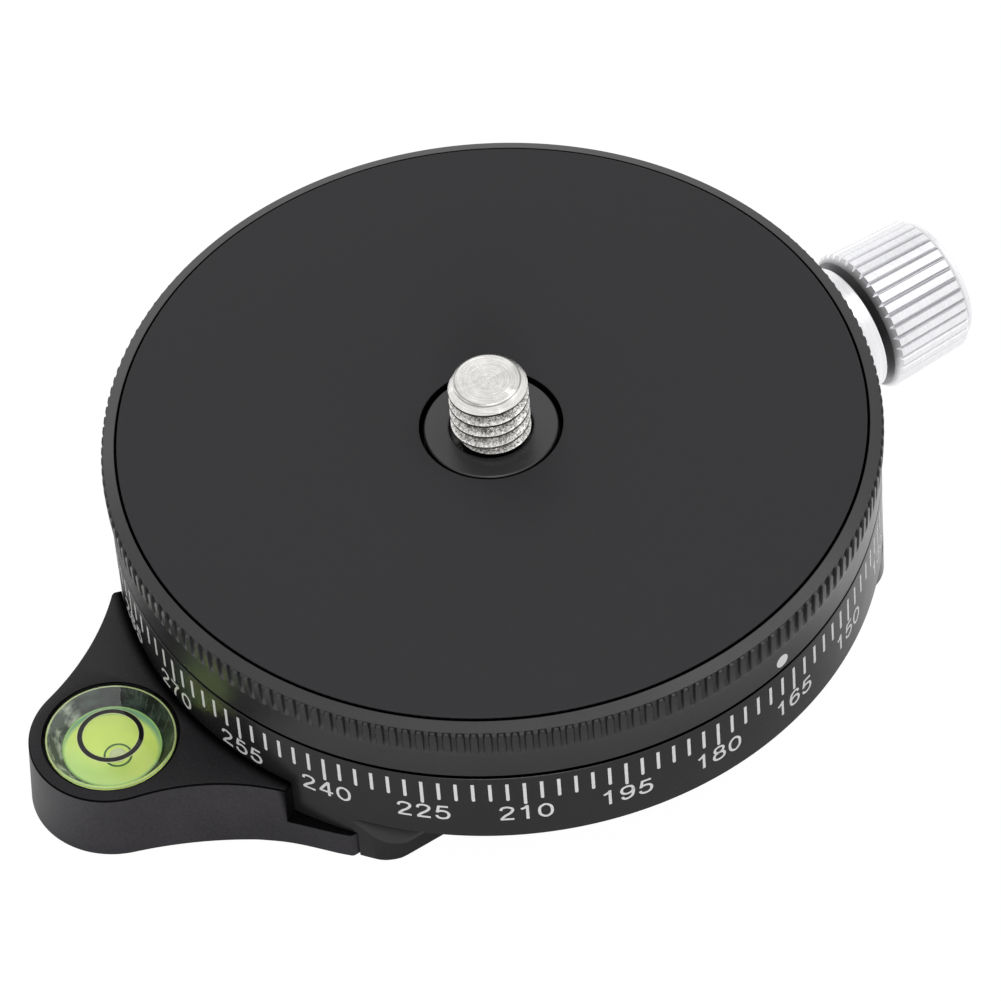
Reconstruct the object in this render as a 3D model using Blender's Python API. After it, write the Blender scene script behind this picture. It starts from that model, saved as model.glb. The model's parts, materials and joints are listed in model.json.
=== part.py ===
"""A panoramic tripod base: a knurled camera platform that pans on a graduated drum.

The frame is the product's own. The origin lies on the pan axis in the plane of the
foot, +Z points up through the camera screw and +X points out along the lock knob,
so the level bracket reaches out along -X. Every length is in metres.
"""

import math

import bmesh
import bpy

# Clearances between pieces
SEAT_GAP = 0.0002  # pieces fastened or pressed together
RING_GAP = 0.00015  # each side of a thin bearing ring or pad
TURN_GAP = 0.0003  # pieces that turn past each other
CUT_OVERRUN = 0.001  # how far a cutter passes the face that it opens
MERGE_DISTANCE = 0.000001

# Facets of round pieces
LARGE_FACETS = 60
MEDIUM_FACETS = 36
SMALL_FACETS = 24
SCREW_FACETS = 12
SHARP_ANGLE = math.radians(28)

# Rotating platform
PLATFORM_RADIUS = 0.0310
PLATFORM_HEIGHT = 0.0053  # underside to the outer edge of the rim's chamfer
RIM_CHAMFER_WIDTH = 0.00105
RIM_CHAMFER_RISE = 0.00042
RIM_LAND_WIDTH = 0.0001  # between the chamfer and the pad's recess
GROOVE_COUNT = 183
GROOVE_DEPTH = 0.00032
GROOVE_LENGTH = 0.0023
GROOVE_RUNOUT = 0.0005
LAND_SHARE = 0.38  # of the groove pitch
WALL_SHARE = 0.15  # of the groove pitch, each side of the groove's floor
PAD_RECESS_DEPTH = 0.0005
SPIGOT_DEPTH = 0.0012
HUB_WIDTH = 0.00185  # round the stud's hole

# Grip pad
PAD_HOLE_GAP = 0.00035  # round the hub
PAD_PROUD = 0.0002  # above the rim's land
PAD_EDGE = 0.00012

# Body: the graduated drum and, in one piece with it, the dovetail foot
RIM_OVERHANG = 0.0003  # of the platform beyond the drum
FOOT_HEIGHT = 0.0043
DRUM_HEIGHT = 0.0076
BODY_EDGE = 0.0003
DOVETAIL_WIDTH = 0.0390
DOVETAIL_LIP = 0.0017
FOOT_CORNER_RADIUS = 0.0035

# Glide ring in the top of the drum
GLIDE_MARGIN = 0.0029  # of the drum outside the ring
GLIDE_WIDTH = 0.0036
GLIDE_THICKNESS = 0.0010

# Camera screw
STUD_RADIUS = 0.003175
STUD_REACH = 0.0053  # above the pad
STUD_CHAMFER = 0.00057
STUD_HOLE_GAP = 0.000325  # round the stud in the platform
STUD_HEAD_RADIUS = 0.0060  # across the corners of the hexagon, halved
STUD_HEAD_THICKNESS = 0.0014

# Flanged spindle
SPINDLE_RADIUS = 0.0120
SPINDLE_FLANGE_WIDTH = 0.0020
SPINDLE_FLANGE_THICKNESS = 0.0011
SPINDLE_CAP = 0.0038
BRAKE_GROOVE_DEPTH = 0.0004
BRAKE_GROOVE_MARGIN = 0.00025  # each side of the brake shoe
THRUST_WASHER_THICKNESS = 0.0004

# Tripod socket plate, square with round corners, and its reducer bushing
PLATE_INSET = 0.0002  # above the foot's plane
PLATE_THICKNESS = 0.0014
PLATE_LEDGE = 0.0010  # of its flat sides over the chamber's wall
PLATE_CORNER_LEDGE = 0.0049  # of its round corners over the chamber's wall
SOCKET_RADIUS = 0.0047625
SOCKET_WALL = 0.0024375
SOCKET_HEADROOM = 0.0004  # under the spindle's cap
BUSHING_GAP = 0.0001625
BUSHING_BORE_RADIUS = 0.0032
BUSHING_SINK = 0.0006  # of its top in the socket
BUSHING_SLOT_WIDTH = 0.0012
BUSHING_SLOT_DEPTH = 0.0010

# Screws
SPINDLE_SCREW_COUNT = 3
SPINDLE_SCREW_RADIUS = 0.00125
SPINDLE_SCREW_HEAD_RADIUS = 0.0023
SPINDLE_SCREW_WEB = 0.0004  # of the spindle's cap under the threaded holes
PLATE_SCREW_COUNT = 4
PLATE_SCREW_RADIUS = 0.0010
PLATE_SCREW_HEAD_RADIUS = 0.0018
PLATE_SCREW_LENGTH = 0.0045
PLATE_SCREW_INSET = 0.0019  # of their circle outside the chamber's wall
BRACKET_SCREW_RADIUS = 0.00125
BRACKET_SCREW_HEAD_RADIUS = 0.0022
BRACKET_SCREW_LENGTH = 0.0060
BRACKET_SCREW_SPACING = 0.0190
HEAD_LIP_SHARE = 0.15  # upright edge of a countersunk head, of its radius
HEX_SOCKET_SHARE = 0.50  # of the head's radius
HEX_DEPTH_SHARE = 0.45  # of the head's radius

# Level bracket
BRACKET_UNDERSIDE = 0.0001
BRACKET_TOP = 0.0064
BRACKET_EDGE = 0.0003
TONGUE_TOP = 0.0027
TONGUE_LENGTH = 0.0092  # from the drum's side inwards
TONGUE_INSET = 0.00245  # of its sides inside the dovetail's lips
TONGUE_PROUD = 0.0003  # of its end at the slit beside the foot, outside the drum
TIP_PROUD = 0.0010  # of the bracket's tips, outside the drum
TIP_ANGLE = math.radians(24.1)  # of the tips from the bracket's centre line
STEP_ANGLE = math.radians(23.8)  # of the ends of the wall above the tongue
LEVEL_WALL = 0.0005  # of the bracket between the level's seal and the drum
END_WALL = 0.0009  # of the bracket round the level's seal
END_DRAFT = 0.00035  # growth of its round end's radius from the top to the foot
FLANK_RADIUS = 0.0175
FLANK_FOOT_RADIUS = 0.0340

# Bull's-eye level
VIAL_RADIUS = 0.00485
VIAL_FLOOR = 0.0016
VIAL_EDGE_RISE = 0.00005  # of the dome's edge above the bracket
VIAL_DOME_RISE = 0.0005
VIAL_WALL = 0.00095
VIAL_CEILING = 0.0010
VIAL_INNER_RISE = 0.0003
PLUG_THICKNESS = 0.00115
SEAL_WIDTH = 0.00035
SEAL_HEIGHT = 0.0007

# Lock knob, its collar, its screw and its brake shoe
KNOB_AXIS_RISE = 0.00015  # above the middle of the body
KNOB_GROUND_GAP = 0.00005  # between the knob and the foot's plane
KNOB_TAPER = 0.00025
KNOB_LENGTH = 0.00815
KNOB_INNER_CHAMFER = 0.0005
KNOB_OUTER_CHAMFER = 0.00065
KNOB_RIM = 0.0003  # plain end beyond the flutes
KNOB_WEB = 0.0008  # between the lock screw and the retaining screw's head
FLUTE_COUNT = 37
FLUTE_DEPTH = 0.00033
CREST_SHARE = 0.24  # of the flute pitch
KNOB_SCREW_RADIUS = 0.00125
KNOB_SCREW_HEAD_RADIUS = 0.0026
KNOB_SCREW_HEAD_HEIGHT = 0.0015
KNOB_SCREW_SINK = 0.00015  # of its head in the knob's end
KNOB_SCREW_LENGTH = 0.0045
COLLAR_MARGIN = 0.0004  # of the collar under the drum's top
COLLAR_FLANGE = 0.0014  # beyond its spigot
COLLAR_SINK = 0.0007  # of its seat inside the drum's side
COLLAR_SPIGOT_LENGTH = 0.0040
COLLAR_LENGTH = 0.0047
COLLAR_EDGE = 0.0002
KNOB_GAP = 0.00055  # between the collar and the knob
LOCK_SCREW_RADIUS = 0.0025
LOCK_TRAVEL = 0.0004
SHOE_RADIUS = 0.0016
SHOE_LENGTH = 0.0030
SHOE_REST_GAP = 0.0005  # to the floor of the brake groove
SHOE_NOSE_EDGE = 0.0004

# Heights above the foot's plane that follow from the sizes above
DRUM_TOP = FOOT_HEIGHT + DRUM_HEIGHT
PLATFORM_BOTTOM = DRUM_TOP + TURN_GAP
RIM_CREST = PLATFORM_BOTTOM + PLATFORM_HEIGHT
RIM_LAND = RIM_CREST + RIM_CHAMFER_RISE
RECESS_FLOOR = RIM_LAND - PAD_RECESS_DEPTH
PAD_TOP = RIM_LAND + PAD_PROUD
STUD_TOP = PAD_TOP + STUD_REACH
SPIGOT_CEILING = PLATFORM_BOTTOM + SPIGOT_DEPTH
SPINDLE_TOP = SPIGOT_CEILING - SEAT_GAP
SPINDLE_CEILING = SPINDLE_TOP - SPINDLE_CAP
PLATE_TOP = PLATE_INSET + PLATE_THICKNESS
PLATE_RECESS_CEILING = PLATE_TOP + SEAT_GAP
FLANGE_BOTTOM = PLATE_TOP + TURN_GAP
FLANGE_TOP = FLANGE_BOTTOM + SPINDLE_FLANGE_THICKNESS
WASHER_BOTTOM = FLANGE_TOP + RING_GAP
CHAMBER_SHOULDER = WASHER_BOTTOM + THRUST_WASHER_THICKNESS + RING_GAP
SOCKET_TOP = SPINDLE_CEILING - SOCKET_HEADROOM
BUSHING_BOTTOM = PLATE_INSET + SEAT_GAP
BUSHING_TOP = SOCKET_TOP - BUSHING_SINK
SPINDLE_HEAD_FACE = RECESS_FLOOR - SEAT_GAP
SPINDLE_THREAD_FLOOR = SPINDLE_CEILING + SPINDLE_SCREW_WEB
KNOB_AXIS_HEIGHT = DRUM_TOP / 2 + KNOB_AXIS_RISE

# Radii that follow
BODY_RADIUS = PLATFORM_RADIUS - RIM_OVERHANG
BODY_WALL_RADIUS = BODY_RADIUS + SEAT_GAP  # of what is fitted against the drum's side
GLIDE_OUTER_RADIUS = BODY_RADIUS - GLIDE_MARGIN
GLIDE_INNER_RADIUS = GLIDE_OUTER_RADIUS - GLIDE_WIDTH
PAD_RECESS_RADIUS = PLATFORM_RADIUS - RIM_CHAMFER_WIDTH - RIM_LAND_WIDTH
PAD_RADIUS = PAD_RECESS_RADIUS - RING_GAP
STUD_HOLE_RADIUS = STUD_RADIUS + STUD_HOLE_GAP
HUB_RADIUS = STUD_HOLE_RADIUS + HUB_WIDTH
PAD_HOLE_RADIUS = HUB_RADIUS + PAD_HOLE_GAP
SPINDLE_FLANGE_RADIUS = SPINDLE_RADIUS + SPINDLE_FLANGE_WIDTH
SPINDLE_SCREW_CIRCLE = (STUD_HEAD_RADIUS + SPINDLE_RADIUS) / 2
BORE_RADIUS = SPINDLE_RADIUS + TURN_GAP
BRAKE_RADIUS = SPINDLE_RADIUS - BRAKE_GROOVE_DEPTH
CHAMBER_RADIUS = SPINDLE_FLANGE_RADIUS + TURN_GAP
PLATE_HALF_WIDTH = CHAMBER_RADIUS + PLATE_LEDGE
PLATE_RADIUS = CHAMBER_RADIUS + PLATE_CORNER_LEDGE
PLATE_SCREW_CIRCLE = CHAMBER_RADIUS + PLATE_SCREW_INSET
SOCKET_BOSS_RADIUS = SOCKET_RADIUS + SOCKET_WALL
BUSHING_RADIUS = SOCKET_RADIUS - BUSHING_GAP
KNOB_INNER_RADIUS = KNOB_AXIS_HEIGHT - KNOB_GROUND_GAP
KNOB_OUTER_RADIUS = KNOB_INNER_RADIUS - KNOB_TAPER
COLLAR_RADIUS = DRUM_TOP - KNOB_AXIS_HEIGHT - COLLAR_MARGIN
COLLAR_SPIGOT_RADIUS = COLLAR_RADIUS - COLLAR_FLANGE

# Distances from the pan axis that follow, along the knob's axis
COLLAR_SEAT = BODY_RADIUS - COLLAR_SINK
COLLAR_SPIGOT_START = COLLAR_SEAT - COLLAR_SPIGOT_LENGTH
COLLAR_END = COLLAR_SEAT + COLLAR_LENGTH
KNOB_START = COLLAR_END + KNOB_GAP
KNOB_END = KNOB_START + KNOB_LENGTH
KNOB_SCREW_TOP = KNOB_END - KNOB_SCREW_SINK
KNOB_SCREW_SEAT = KNOB_SCREW_TOP - KNOB_SCREW_HEAD_HEIGHT
KNOB_BORE_FLOOR = KNOB_SCREW_SEAT - SEAT_GAP - KNOB_WEB
LOCK_SCREW_END = KNOB_BORE_FLOOR - SEAT_GAP
SHOE_START = BRAKE_RADIUS + SHOE_REST_GAP
SHOE_END = SHOE_START + SHOE_LENGTH
LOCK_SCREW_START = SHOE_END + SEAT_GAP

# Places that follow, towards the level
TONGUE_HALF_WIDTH = DOVETAIL_WIDTH / 2 - TONGUE_INSET
TONGUE_REACH = BODY_RADIUS - TONGUE_LENGTH
TONGUE_END_RADIUS = BODY_RADIUS + TONGUE_PROUD
BRACKET_SCREW_REACH = (TONGUE_REACH + BODY_RADIUS) / 2
TIP_RADIUS = BODY_RADIUS + TIP_PROUD
VIAL_POCKET_RADIUS = VIAL_RADIUS + SEAT_GAP
SEAL_POCKET_RADIUS = VIAL_POCKET_RADIUS + SEAL_WIDTH + SEAT_GAP
LEVEL_REACH = BODY_WALL_RADIUS + LEVEL_WALL + SEAL_POCKET_RADIUS
END_RADIUS = SEAL_POCKET_RADIUS + END_WALL


def clear_scene():
    """Remove every object of the file that the script is run in."""
    for thing in list(bpy.data.objects):
        bpy.data.objects.remove(thing, do_unlink=True)


def finish(name, colour, roughness, metallic):
    """Make a plain surface finish."""
    material = bpy.data.materials.new(name)
    material.use_nodes = True
    shader = material.node_tree.nodes["Principled BSDF"]
    shader.inputs["Base Color"].default_value = (*colour, 1)
    shader.inputs["Roughness"].default_value = roughness
    shader.inputs["Metallic"].default_value = metallic
    return material


def make_finishes():
    """Make the finishes of the product, by name."""
    return {
        "black": finish("black_anodised", (0.035, 0.035, 0.038), 0.45, 0.4),
        "silver": finish("silver_anodised", (0.80, 0.80, 0.82), 0.35, 1),
        "steel": finish("stainless_steel", (0.62, 0.62, 0.62), 0.28, 1),
        "brass": finish("brass", (0.72, 0.56, 0.28), 0.35, 1),
        "pad": finish("black_rubber", (0.045, 0.045, 0.048), 0.75, 0),
        "acetal": finish("white_acetal", (0.85, 0.85, 0.82), 0.5, 0),
        "acrylic": finish("clear_acrylic", (0.80, 0.88, 0.86), 0.05, 0),
        "fluid": finish("level_fluid", (0.58, 0.78, 0.12), 0.1, 0),
    }


def add_object(name, mesh, material=None, location=(0, 0, 0), parent=None):
    """Link a mesh as one named object."""
    thing = bpy.data.objects.new(name, mesh)
    thing.location = location
    thing.parent = parent
    if material and not mesh.materials:
        mesh.materials.append(material)
    bpy.context.scene.collection.objects.link(thing)
    return thing


def mesh_from(name, bm):
    """Turn a finished bmesh into a mesh with round parts shaded smooth."""
    bmesh.ops.recalc_face_normals(bm, faces=bm.faces)
    mesh = bpy.data.meshes.new(name)
    bm.to_mesh(mesh)
    bm.free()
    mesh.shade_smooth()
    mesh.set_sharp_from_angle(angle=SHARP_ANGLE)
    return mesh


def spun_mesh(name, profile, facets):
    """Spin a profile of (radius, height) points about Z.

    A profile that starts and ends on the axis is an open chain, and any other is a
    closed ring's section.
    """
    bm = bmesh.new()
    points = [bm.verts.new((radius, 0, height)) for radius, height in profile]
    chain = list(zip(points, points[1:]))
    if profile[0][0] > 0:
        chain.append((points[-1], points[0]))
    edges = [bm.edges.new(pair) for pair in chain]
    bmesh.ops.spin(
        bm, geom=points + edges, cent=(0, 0, 0), axis=(0, 0, 1), dvec=(0, 0, 0),
        angle=2 * math.pi, steps=facets, use_merge=True, use_duplicate=False)
    bmesh.ops.remove_doubles(bm, verts=bm.verts, dist=MERGE_DISTANCE)
    return mesh_from(name, bm)


def prism_mesh(name, outline, bottom, top, edge=0):
    """Extrude a plan outline, with a chamfered top edge where one is asked for."""
    bm = bmesh.new()
    face = bm.faces.new([bm.verts.new((x, y, bottom)) for x, y in outline])
    grown = bmesh.ops.extrude_face_region(bm, geom=[face])["geom"]
    cap = [part for part in grown if isinstance(part, bmesh.types.BMFace)][0]
    bmesh.ops.translate(bm, verts=cap.verts, vec=(0, 0, top - edge - bottom))
    bmesh.ops.recalc_face_normals(bm, faces=bm.faces)
    if edge:
        bmesh.ops.inset_region(bm, faces=[cap], thickness=edge, depth=edge, use_even_offset=True)
    return mesh_from(name, bm)


def drafted_mesh(name, foot, head, bottom, top, edge):
    """Join two plan outlines of as many points, with a chamfered top edge."""
    bm = bmesh.new()
    low = [bm.verts.new((x, y, bottom)) for x, y in foot]
    high = [bm.verts.new((x, y, top - edge)) for x, y in head]
    bm.faces.new(low)
    cap = bm.faces.new(high)
    for index in range(len(low)):
        ring = (low[index - 1], low[index], high[index], high[index - 1])
        bm.faces.new(ring[:3])
        bm.faces.new((ring[0], *ring[2:]))
    bmesh.ops.recalc_face_normals(bm, faces=bm.faces)
    bmesh.ops.inset_region(bm, faces=[cap], thickness=edge, depth=edge, use_even_offset=True)
    return mesh_from(name, bm)


def cut(thing, cutter, operation="DIFFERENCE"):
    """Take a cutter's shape out of a piece, or keep only what lies inside it."""
    cutter.hide_render = True
    cutter.display_type = "WIRE"
    modifier = thing.modifiers.new(f"cut_by_{cutter.name}", "BOOLEAN")
    modifier.operation = operation
    modifier.solver = "EXACT"
    modifier.object = cutter


def arc(centre, radius, start, end, steps):
    """Points on an arc, both ends included."""
    turns = [start + (end - start) * step / steps for step in range(steps + 1)]
    return [(centre[0] + radius * math.cos(turn), centre[1] + radius * math.sin(turn))
            for turn in turns]


def hexagon(corner_radius):
    """Outline of a hexagon about the origin."""
    return arc((0, 0), corner_radius, 0, 2 * math.pi, 6)[:-1]


def on_circle(radius, count, start=0):
    """Places spread evenly on a circle about the pan axis."""
    turns = [start + 2 * math.pi * index / count for index in range(count)]
    return [(radius * math.cos(turn), radius * math.sin(turn)) for turn in turns]


def countersunk_screw_mesh(name, radius, head_radius, length):
    """A countersunk screw with a hexagon socket, its head's face at z 0, pointing down."""
    lip = head_radius * HEAD_LIP_SHARE
    cone = lip + head_radius - radius
    socket_radius = head_radius * HEX_SOCKET_SHARE
    socket_depth = head_radius * HEX_DEPTH_SHARE
    profile = [(0, -socket_depth), (socket_radius, -socket_depth), (socket_radius, 0),
               (head_radius, 0), (head_radius, -lip), (radius, -cone),
               (radius, -length), (0, -length)]
    mesh = spun_mesh(name, profile, SCREW_FACETS)
    flatten_to_hexagon(mesh, socket_radius, -socket_depth)
    return mesh


def flatten_to_hexagon(mesh, corner_radius, lowest):
    """Draw the points of one round step in onto a hexagon, from a height upwards."""
    for vertex in mesh.vertices:
        radius = math.hypot(vertex.co.x, vertex.co.y)
        above = vertex.co.z > lowest - MERGE_DISTANCE
        if above and abs(radius - corner_radius) < MERGE_DISTANCE:
            turn = math.atan2(vertex.co.y, vertex.co.x) % (math.pi / 3)
            share = math.cos(math.pi / 6) / math.cos(turn - math.pi / 6)
            vertex.co.x *= share
            vertex.co.y *= share


def screw_hole_mesh(name, radius, head_radius, depth):
    """A cutter for a countersunk screw's hole, laid as the screw is."""
    bore = radius + SEAT_GAP
    mouth = head_radius + SEAT_GAP
    lip = head_radius * HEAD_LIP_SHARE + SEAT_GAP
    profile = [(0, CUT_OVERRUN), (mouth, CUT_OVERRUN), (mouth, -lip),
               (bore, -lip - mouth + bore), (bore, -depth), (0, -depth)]
    return spun_mesh(name, profile, SCREW_FACETS)


def plain_hole_mesh(name, radius, bottom, top, facets):
    """A cutter for a plain round hole along Z."""
    profile = [(0, top), (radius, top), (radius, bottom), (0, bottom)]
    return spun_mesh(name, profile, facets)


def foot_corner_cutter_mesh(name, side_x, side_y):
    """A cutter that rounds one upright corner between the foot's flat and its round end."""
    flat = DOVETAIL_WIDTH / 2
    inner = BODY_RADIUS - FOOT_CORNER_RADIUS
    centre_y = flat - FOOT_CORNER_RADIUS
    centre_x = math.sqrt(inner * inner - centre_y * centre_y)
    lean = math.atan2(centre_y, centre_x)
    rounding = arc((centre_x, centre_y), FOOT_CORNER_RADIUS, lean, math.pi / 2, 6)
    far = (centre_x + FOOT_CORNER_RADIUS, flat + CUT_OVERRUN)
    start = (rounding[0][0] + CUT_OVERRUN, rounding[0][1])
    outline = [start, *rounding, (rounding[-1][0], far[1]), (far[0] + CUT_OVERRUN, far[1])]
    outline = [(side_x * x, side_y * y) for x, y in outline]
    return prism_mesh(name, outline, -CUT_OVERRUN, FOOT_HEIGHT)


def dovetail_cutter_mesh(name, side):
    """A cutter that leaves the 45 degree dovetail of the foot along one side."""
    lip = DOVETAIL_WIDTH / 2
    neck = lip - (FOOT_HEIGHT - DOVETAIL_LIP)
    far = BODY_RADIUS + CUT_OVERRUN
    outline = [(lip, -CUT_OVERRUN), (far, -CUT_OVERRUN), (far, FOOT_HEIGHT),
               (neck, FOOT_HEIGHT), (lip, DOVETAIL_LIP)]
    bm = bmesh.new()
    face = bm.faces.new([bm.verts.new((-far, side * y, z)) for y, z in outline])
    grown = bmesh.ops.extrude_face_region(bm, geom=[face])["geom"]
    moved = [part for part in grown if isinstance(part, bmesh.types.BMVert)]
    bmesh.ops.translate(bm, verts=moved, vec=(2 * far, 0, 0))
    return mesh_from(name, bm)


def make_base_body(black, knob_line):
    """The drum and the dovetail foot, bored for the spindle and cut for what it carries."""
    groove_outer = GLIDE_OUTER_RADIUS + SEAT_GAP
    groove_inner = GLIDE_INNER_RADIUS - SEAT_GAP
    groove_floor = PLATFORM_BOTTOM - 2 * RING_GAP - GLIDE_THICKNESS
    edge_radius = BODY_RADIUS - BODY_EDGE
    profile = [
        (BORE_RADIUS, CHAMBER_SHOULDER), (CHAMBER_RADIUS, CHAMBER_SHOULDER),
        (CHAMBER_RADIUS, 0), (BODY_RADIUS, 0), (BODY_RADIUS, DRUM_TOP - BODY_EDGE),
        (edge_radius, DRUM_TOP),
        (groove_outer, DRUM_TOP), (groove_outer, groove_floor),
        (groove_inner, groove_floor), (groove_inner, DRUM_TOP), (BORE_RADIUS, DRUM_TOP)]
    body = add_object("base_body", spun_mesh("base_body", profile, LARGE_FACETS), black)

    for side, word in ((1, "left"), (-1, "right")):
        name = f"cutter_dovetail_{word}"
        cut(body, add_object(name, dovetail_cutter_mesh(name, side)))
        for end, end_word in ((1, "knob"), (-1, "level")):
            name = f"cutter_corner_{word}_{end_word}"
            cut(body, add_object(name, foot_corner_cutter_mesh(name, end, side)))

    name = "cutter_plate_recess"
    outline = plate_outline(SEAT_GAP)
    mesh = prism_mesh(name, outline, -CUT_OVERRUN, PLATE_RECESS_CEILING)
    cut(body, add_object(name, mesh))

    pocket_half = TONGUE_HALF_WIDTH + SEAT_GAP
    pocket_start = TONGUE_REACH - SEAT_GAP
    far = BODY_RADIUS + CUT_OVERRUN
    pocket = [(-pocket_start, -pocket_half), (-pocket_start, pocket_half),
              (-far, pocket_half), (-far, -pocket_half)]
    name = "cutter_tongue_pocket"
    mesh = prism_mesh(name, pocket, -CUT_OVERRUN, TONGUE_TOP + SEAT_GAP)
    cut(body, add_object(name, mesh))

    shoe_bore = SHOE_RADIUS + SEAT_GAP
    screw_bore = LOCK_SCREW_RADIUS + SEAT_GAP
    spigot_bore = COLLAR_SPIGOT_RADIUS + SEAT_GAP
    seat_bore = COLLAR_RADIUS + SEAT_GAP
    shoe_stop = LOCK_SCREW_START - LOCK_TRAVEL - TURN_GAP
    profile = [
        (0, far), (seat_bore, far), (seat_bore, COLLAR_SEAT - SEAT_GAP),
        (spigot_bore, COLLAR_SEAT - SEAT_GAP), (spigot_bore, COLLAR_SPIGOT_START - SEAT_GAP),
        (screw_bore, COLLAR_SPIGOT_START - SEAT_GAP), (screw_bore, shoe_stop),
        (shoe_bore, shoe_stop), (shoe_bore, SPINDLE_RADIUS), (0, SPINDLE_RADIUS)]
    name = "cutter_knob_bore"
    cut(body, add_object(name, spun_mesh(name, profile, SMALL_FACETS), parent=knob_line))

    hole = plain_hole_mesh("cutter_plate_screw", PLATE_SCREW_RADIUS + SEAT_GAP,
                           0, PLATE_INSET + PLATE_SCREW_LENGTH + 2 * SEAT_GAP, SCREW_FACETS)
    for index, (x, y) in enumerate(plate_screw_places(), 1):
        cut(body, add_object(f"cutter_plate_screw_{index}", hole, location=(x, y, 0)))
    hole = plain_hole_mesh("cutter_bracket_screw", BRACKET_SCREW_RADIUS + SEAT_GAP, 0,
                           BRACKET_UNDERSIDE + BRACKET_SCREW_LENGTH + 2 * SEAT_GAP,
                           SCREW_FACETS)
    for index, (x, y) in enumerate(bracket_screw_places(), 1):
        cut(body, add_object(f"cutter_bracket_thread_{index}", hole, location=(x, y, 0)))


def plate_outline(margin=0):
    """Plan of the socket plate, a square with round corners, grown by a margin."""
    radius = PLATE_RADIUS + margin
    lean = math.acos((PLATE_HALF_WIDTH + margin) / radius)
    outline = []
    for quarter in range(4):
        turn = quarter * math.pi / 2
        outline += arc((0, 0), radius, turn + lean, turn + math.pi / 2 - lean, 4)
    return outline


def plate_screw_places():
    """Where the screws of the socket plate stand."""
    return on_circle(PLATE_SCREW_CIRCLE, PLATE_SCREW_COUNT, math.pi / PLATE_SCREW_COUNT)


def bracket_screw_places():
    """Where the screws of the level bracket stand."""
    return [(-BRACKET_SCREW_REACH, side * BRACKET_SCREW_SPACING / 2) for side in (1, -1)]


def spindle_screw_places():
    """Where the screws of the spindle stand."""
    return on_circle(SPINDLE_SCREW_CIRCLE, SPINDLE_SCREW_COUNT, math.pi)


def make_glide_ring(acetal):
    """The flat ring in the drum's top that the platform slides on."""
    top = PLATFORM_BOTTOM - RING_GAP
    bottom = top - GLIDE_THICKNESS
    profile = [(GLIDE_INNER_RADIUS, bottom), (GLIDE_OUTER_RADIUS, bottom),
               (GLIDE_OUTER_RADIUS, top), (GLIDE_INNER_RADIUS, top)]
    add_object("glide_ring", spun_mesh("glide_ring", profile, MEDIUM_FACETS), acetal)


def make_thrust_washer(acetal):
    """The washer between the spindle's flange and the body's shoulder."""
    top = CHAMBER_SHOULDER - RING_GAP
    profile = [(BORE_RADIUS, WASHER_BOTTOM), (SPINDLE_FLANGE_RADIUS, WASHER_BOTTOM),
               (SPINDLE_FLANGE_RADIUS, top), (BORE_RADIUS, top)]
    add_object("thrust_washer", spun_mesh("thrust_washer", profile, MEDIUM_FACETS), acetal)


def knurled_blank_mesh(name):
    """The platform's disc, with upright grooves that scallop the chamfer of its rim."""
    bm = bmesh.new()
    pitch = 2 * math.pi / GROOVE_COUNT
    floor_radius = PLATFORM_RADIUS - GROOVE_DEPTH
    land_radius = PLATFORM_RADIUS - RIM_CHAMFER_WIDTH
    floor_top = RIM_CREST + RIM_CHAMFER_RISE * GROOVE_DEPTH / RIM_CHAMFER_WIDTH
    groove_end = RIM_CREST - GROOVE_LENGTH
    turn_in = groove_end + GROOVE_RUNOUT

    def corner(radius, turn, height):
        return bm.verts.new((radius * math.cos(turn), radius * math.sin(turn), height))

    cells = []
    for index in range(GROOVE_COUNT):
        start = index * pitch
        land_end = start + pitch * LAND_SHARE
        floor_start = land_end + pitch * WALL_SHARE
        floor_end = start + pitch - pitch * WALL_SHARE
        middle = (start + land_end) / 2
        cells.append({
            "inner": corner(land_radius, middle, RIM_LAND),
            "crest_a": corner(PLATFORM_RADIUS, start, RIM_CREST),
            "crest_b": corner(PLATFORM_RADIUS, land_end, RIM_CREST),
            "floor_a": corner(floor_radius, floor_start, floor_top),
            "floor_b": corner(floor_radius, floor_end, floor_top),
            "low_a": corner(PLATFORM_RADIUS, start, turn_in),
            "low_b": corner(PLATFORM_RADIUS, land_end, turn_in),
            "deep_a": corner(floor_radius, floor_start, turn_in),
            "deep_b": corner(floor_radius, floor_end, turn_in),
            "end_a": corner(PLATFORM_RADIUS, floor_start, groove_end),
            "end_b": corner(PLATFORM_RADIUS, floor_end, groove_end),
            "foot": corner(PLATFORM_RADIUS, middle, PLATFORM_BOTTOM),
        })
    for here, onward in zip(cells, cells[1:] + cells[:1]):
        for ring in (
                (here["inner"], here["crest_a"], here["crest_b"]),
                (here["inner"], here["crest_b"], here["floor_a"], here["floor_b"],
                 onward["crest_a"], onward["inner"]),
                (here["crest_a"], here["low_a"], here["low_b"], here["crest_b"]),
                (here["crest_b"], here["low_b"], here["deep_a"], here["floor_a"]),
                (here["floor_a"], here["deep_a"], here["deep_b"], here["floor_b"]),
                (here["floor_b"], here["deep_b"], onward["low_a"], onward["crest_a"]),
                (here["low_b"], here["end_a"], here["deep_a"]),
                (here["deep_a"], here["end_a"], here["end_b"], here["deep_b"]),
                (here["deep_b"], here["end_b"], onward["low_a"]),
                (here["low_a"], here["foot"], here["low_b"]),
                (here["foot"], onward["foot"], onward["low_a"], here["end_b"],
                 here["end_a"], here["low_b"])):
            bm.faces.new(ring)
    bm.faces.new([cell["inner"] for cell in cells])
    bm.faces.new([cell["foot"] for cell in reversed(cells)])
    return mesh_from(name, bm)


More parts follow.
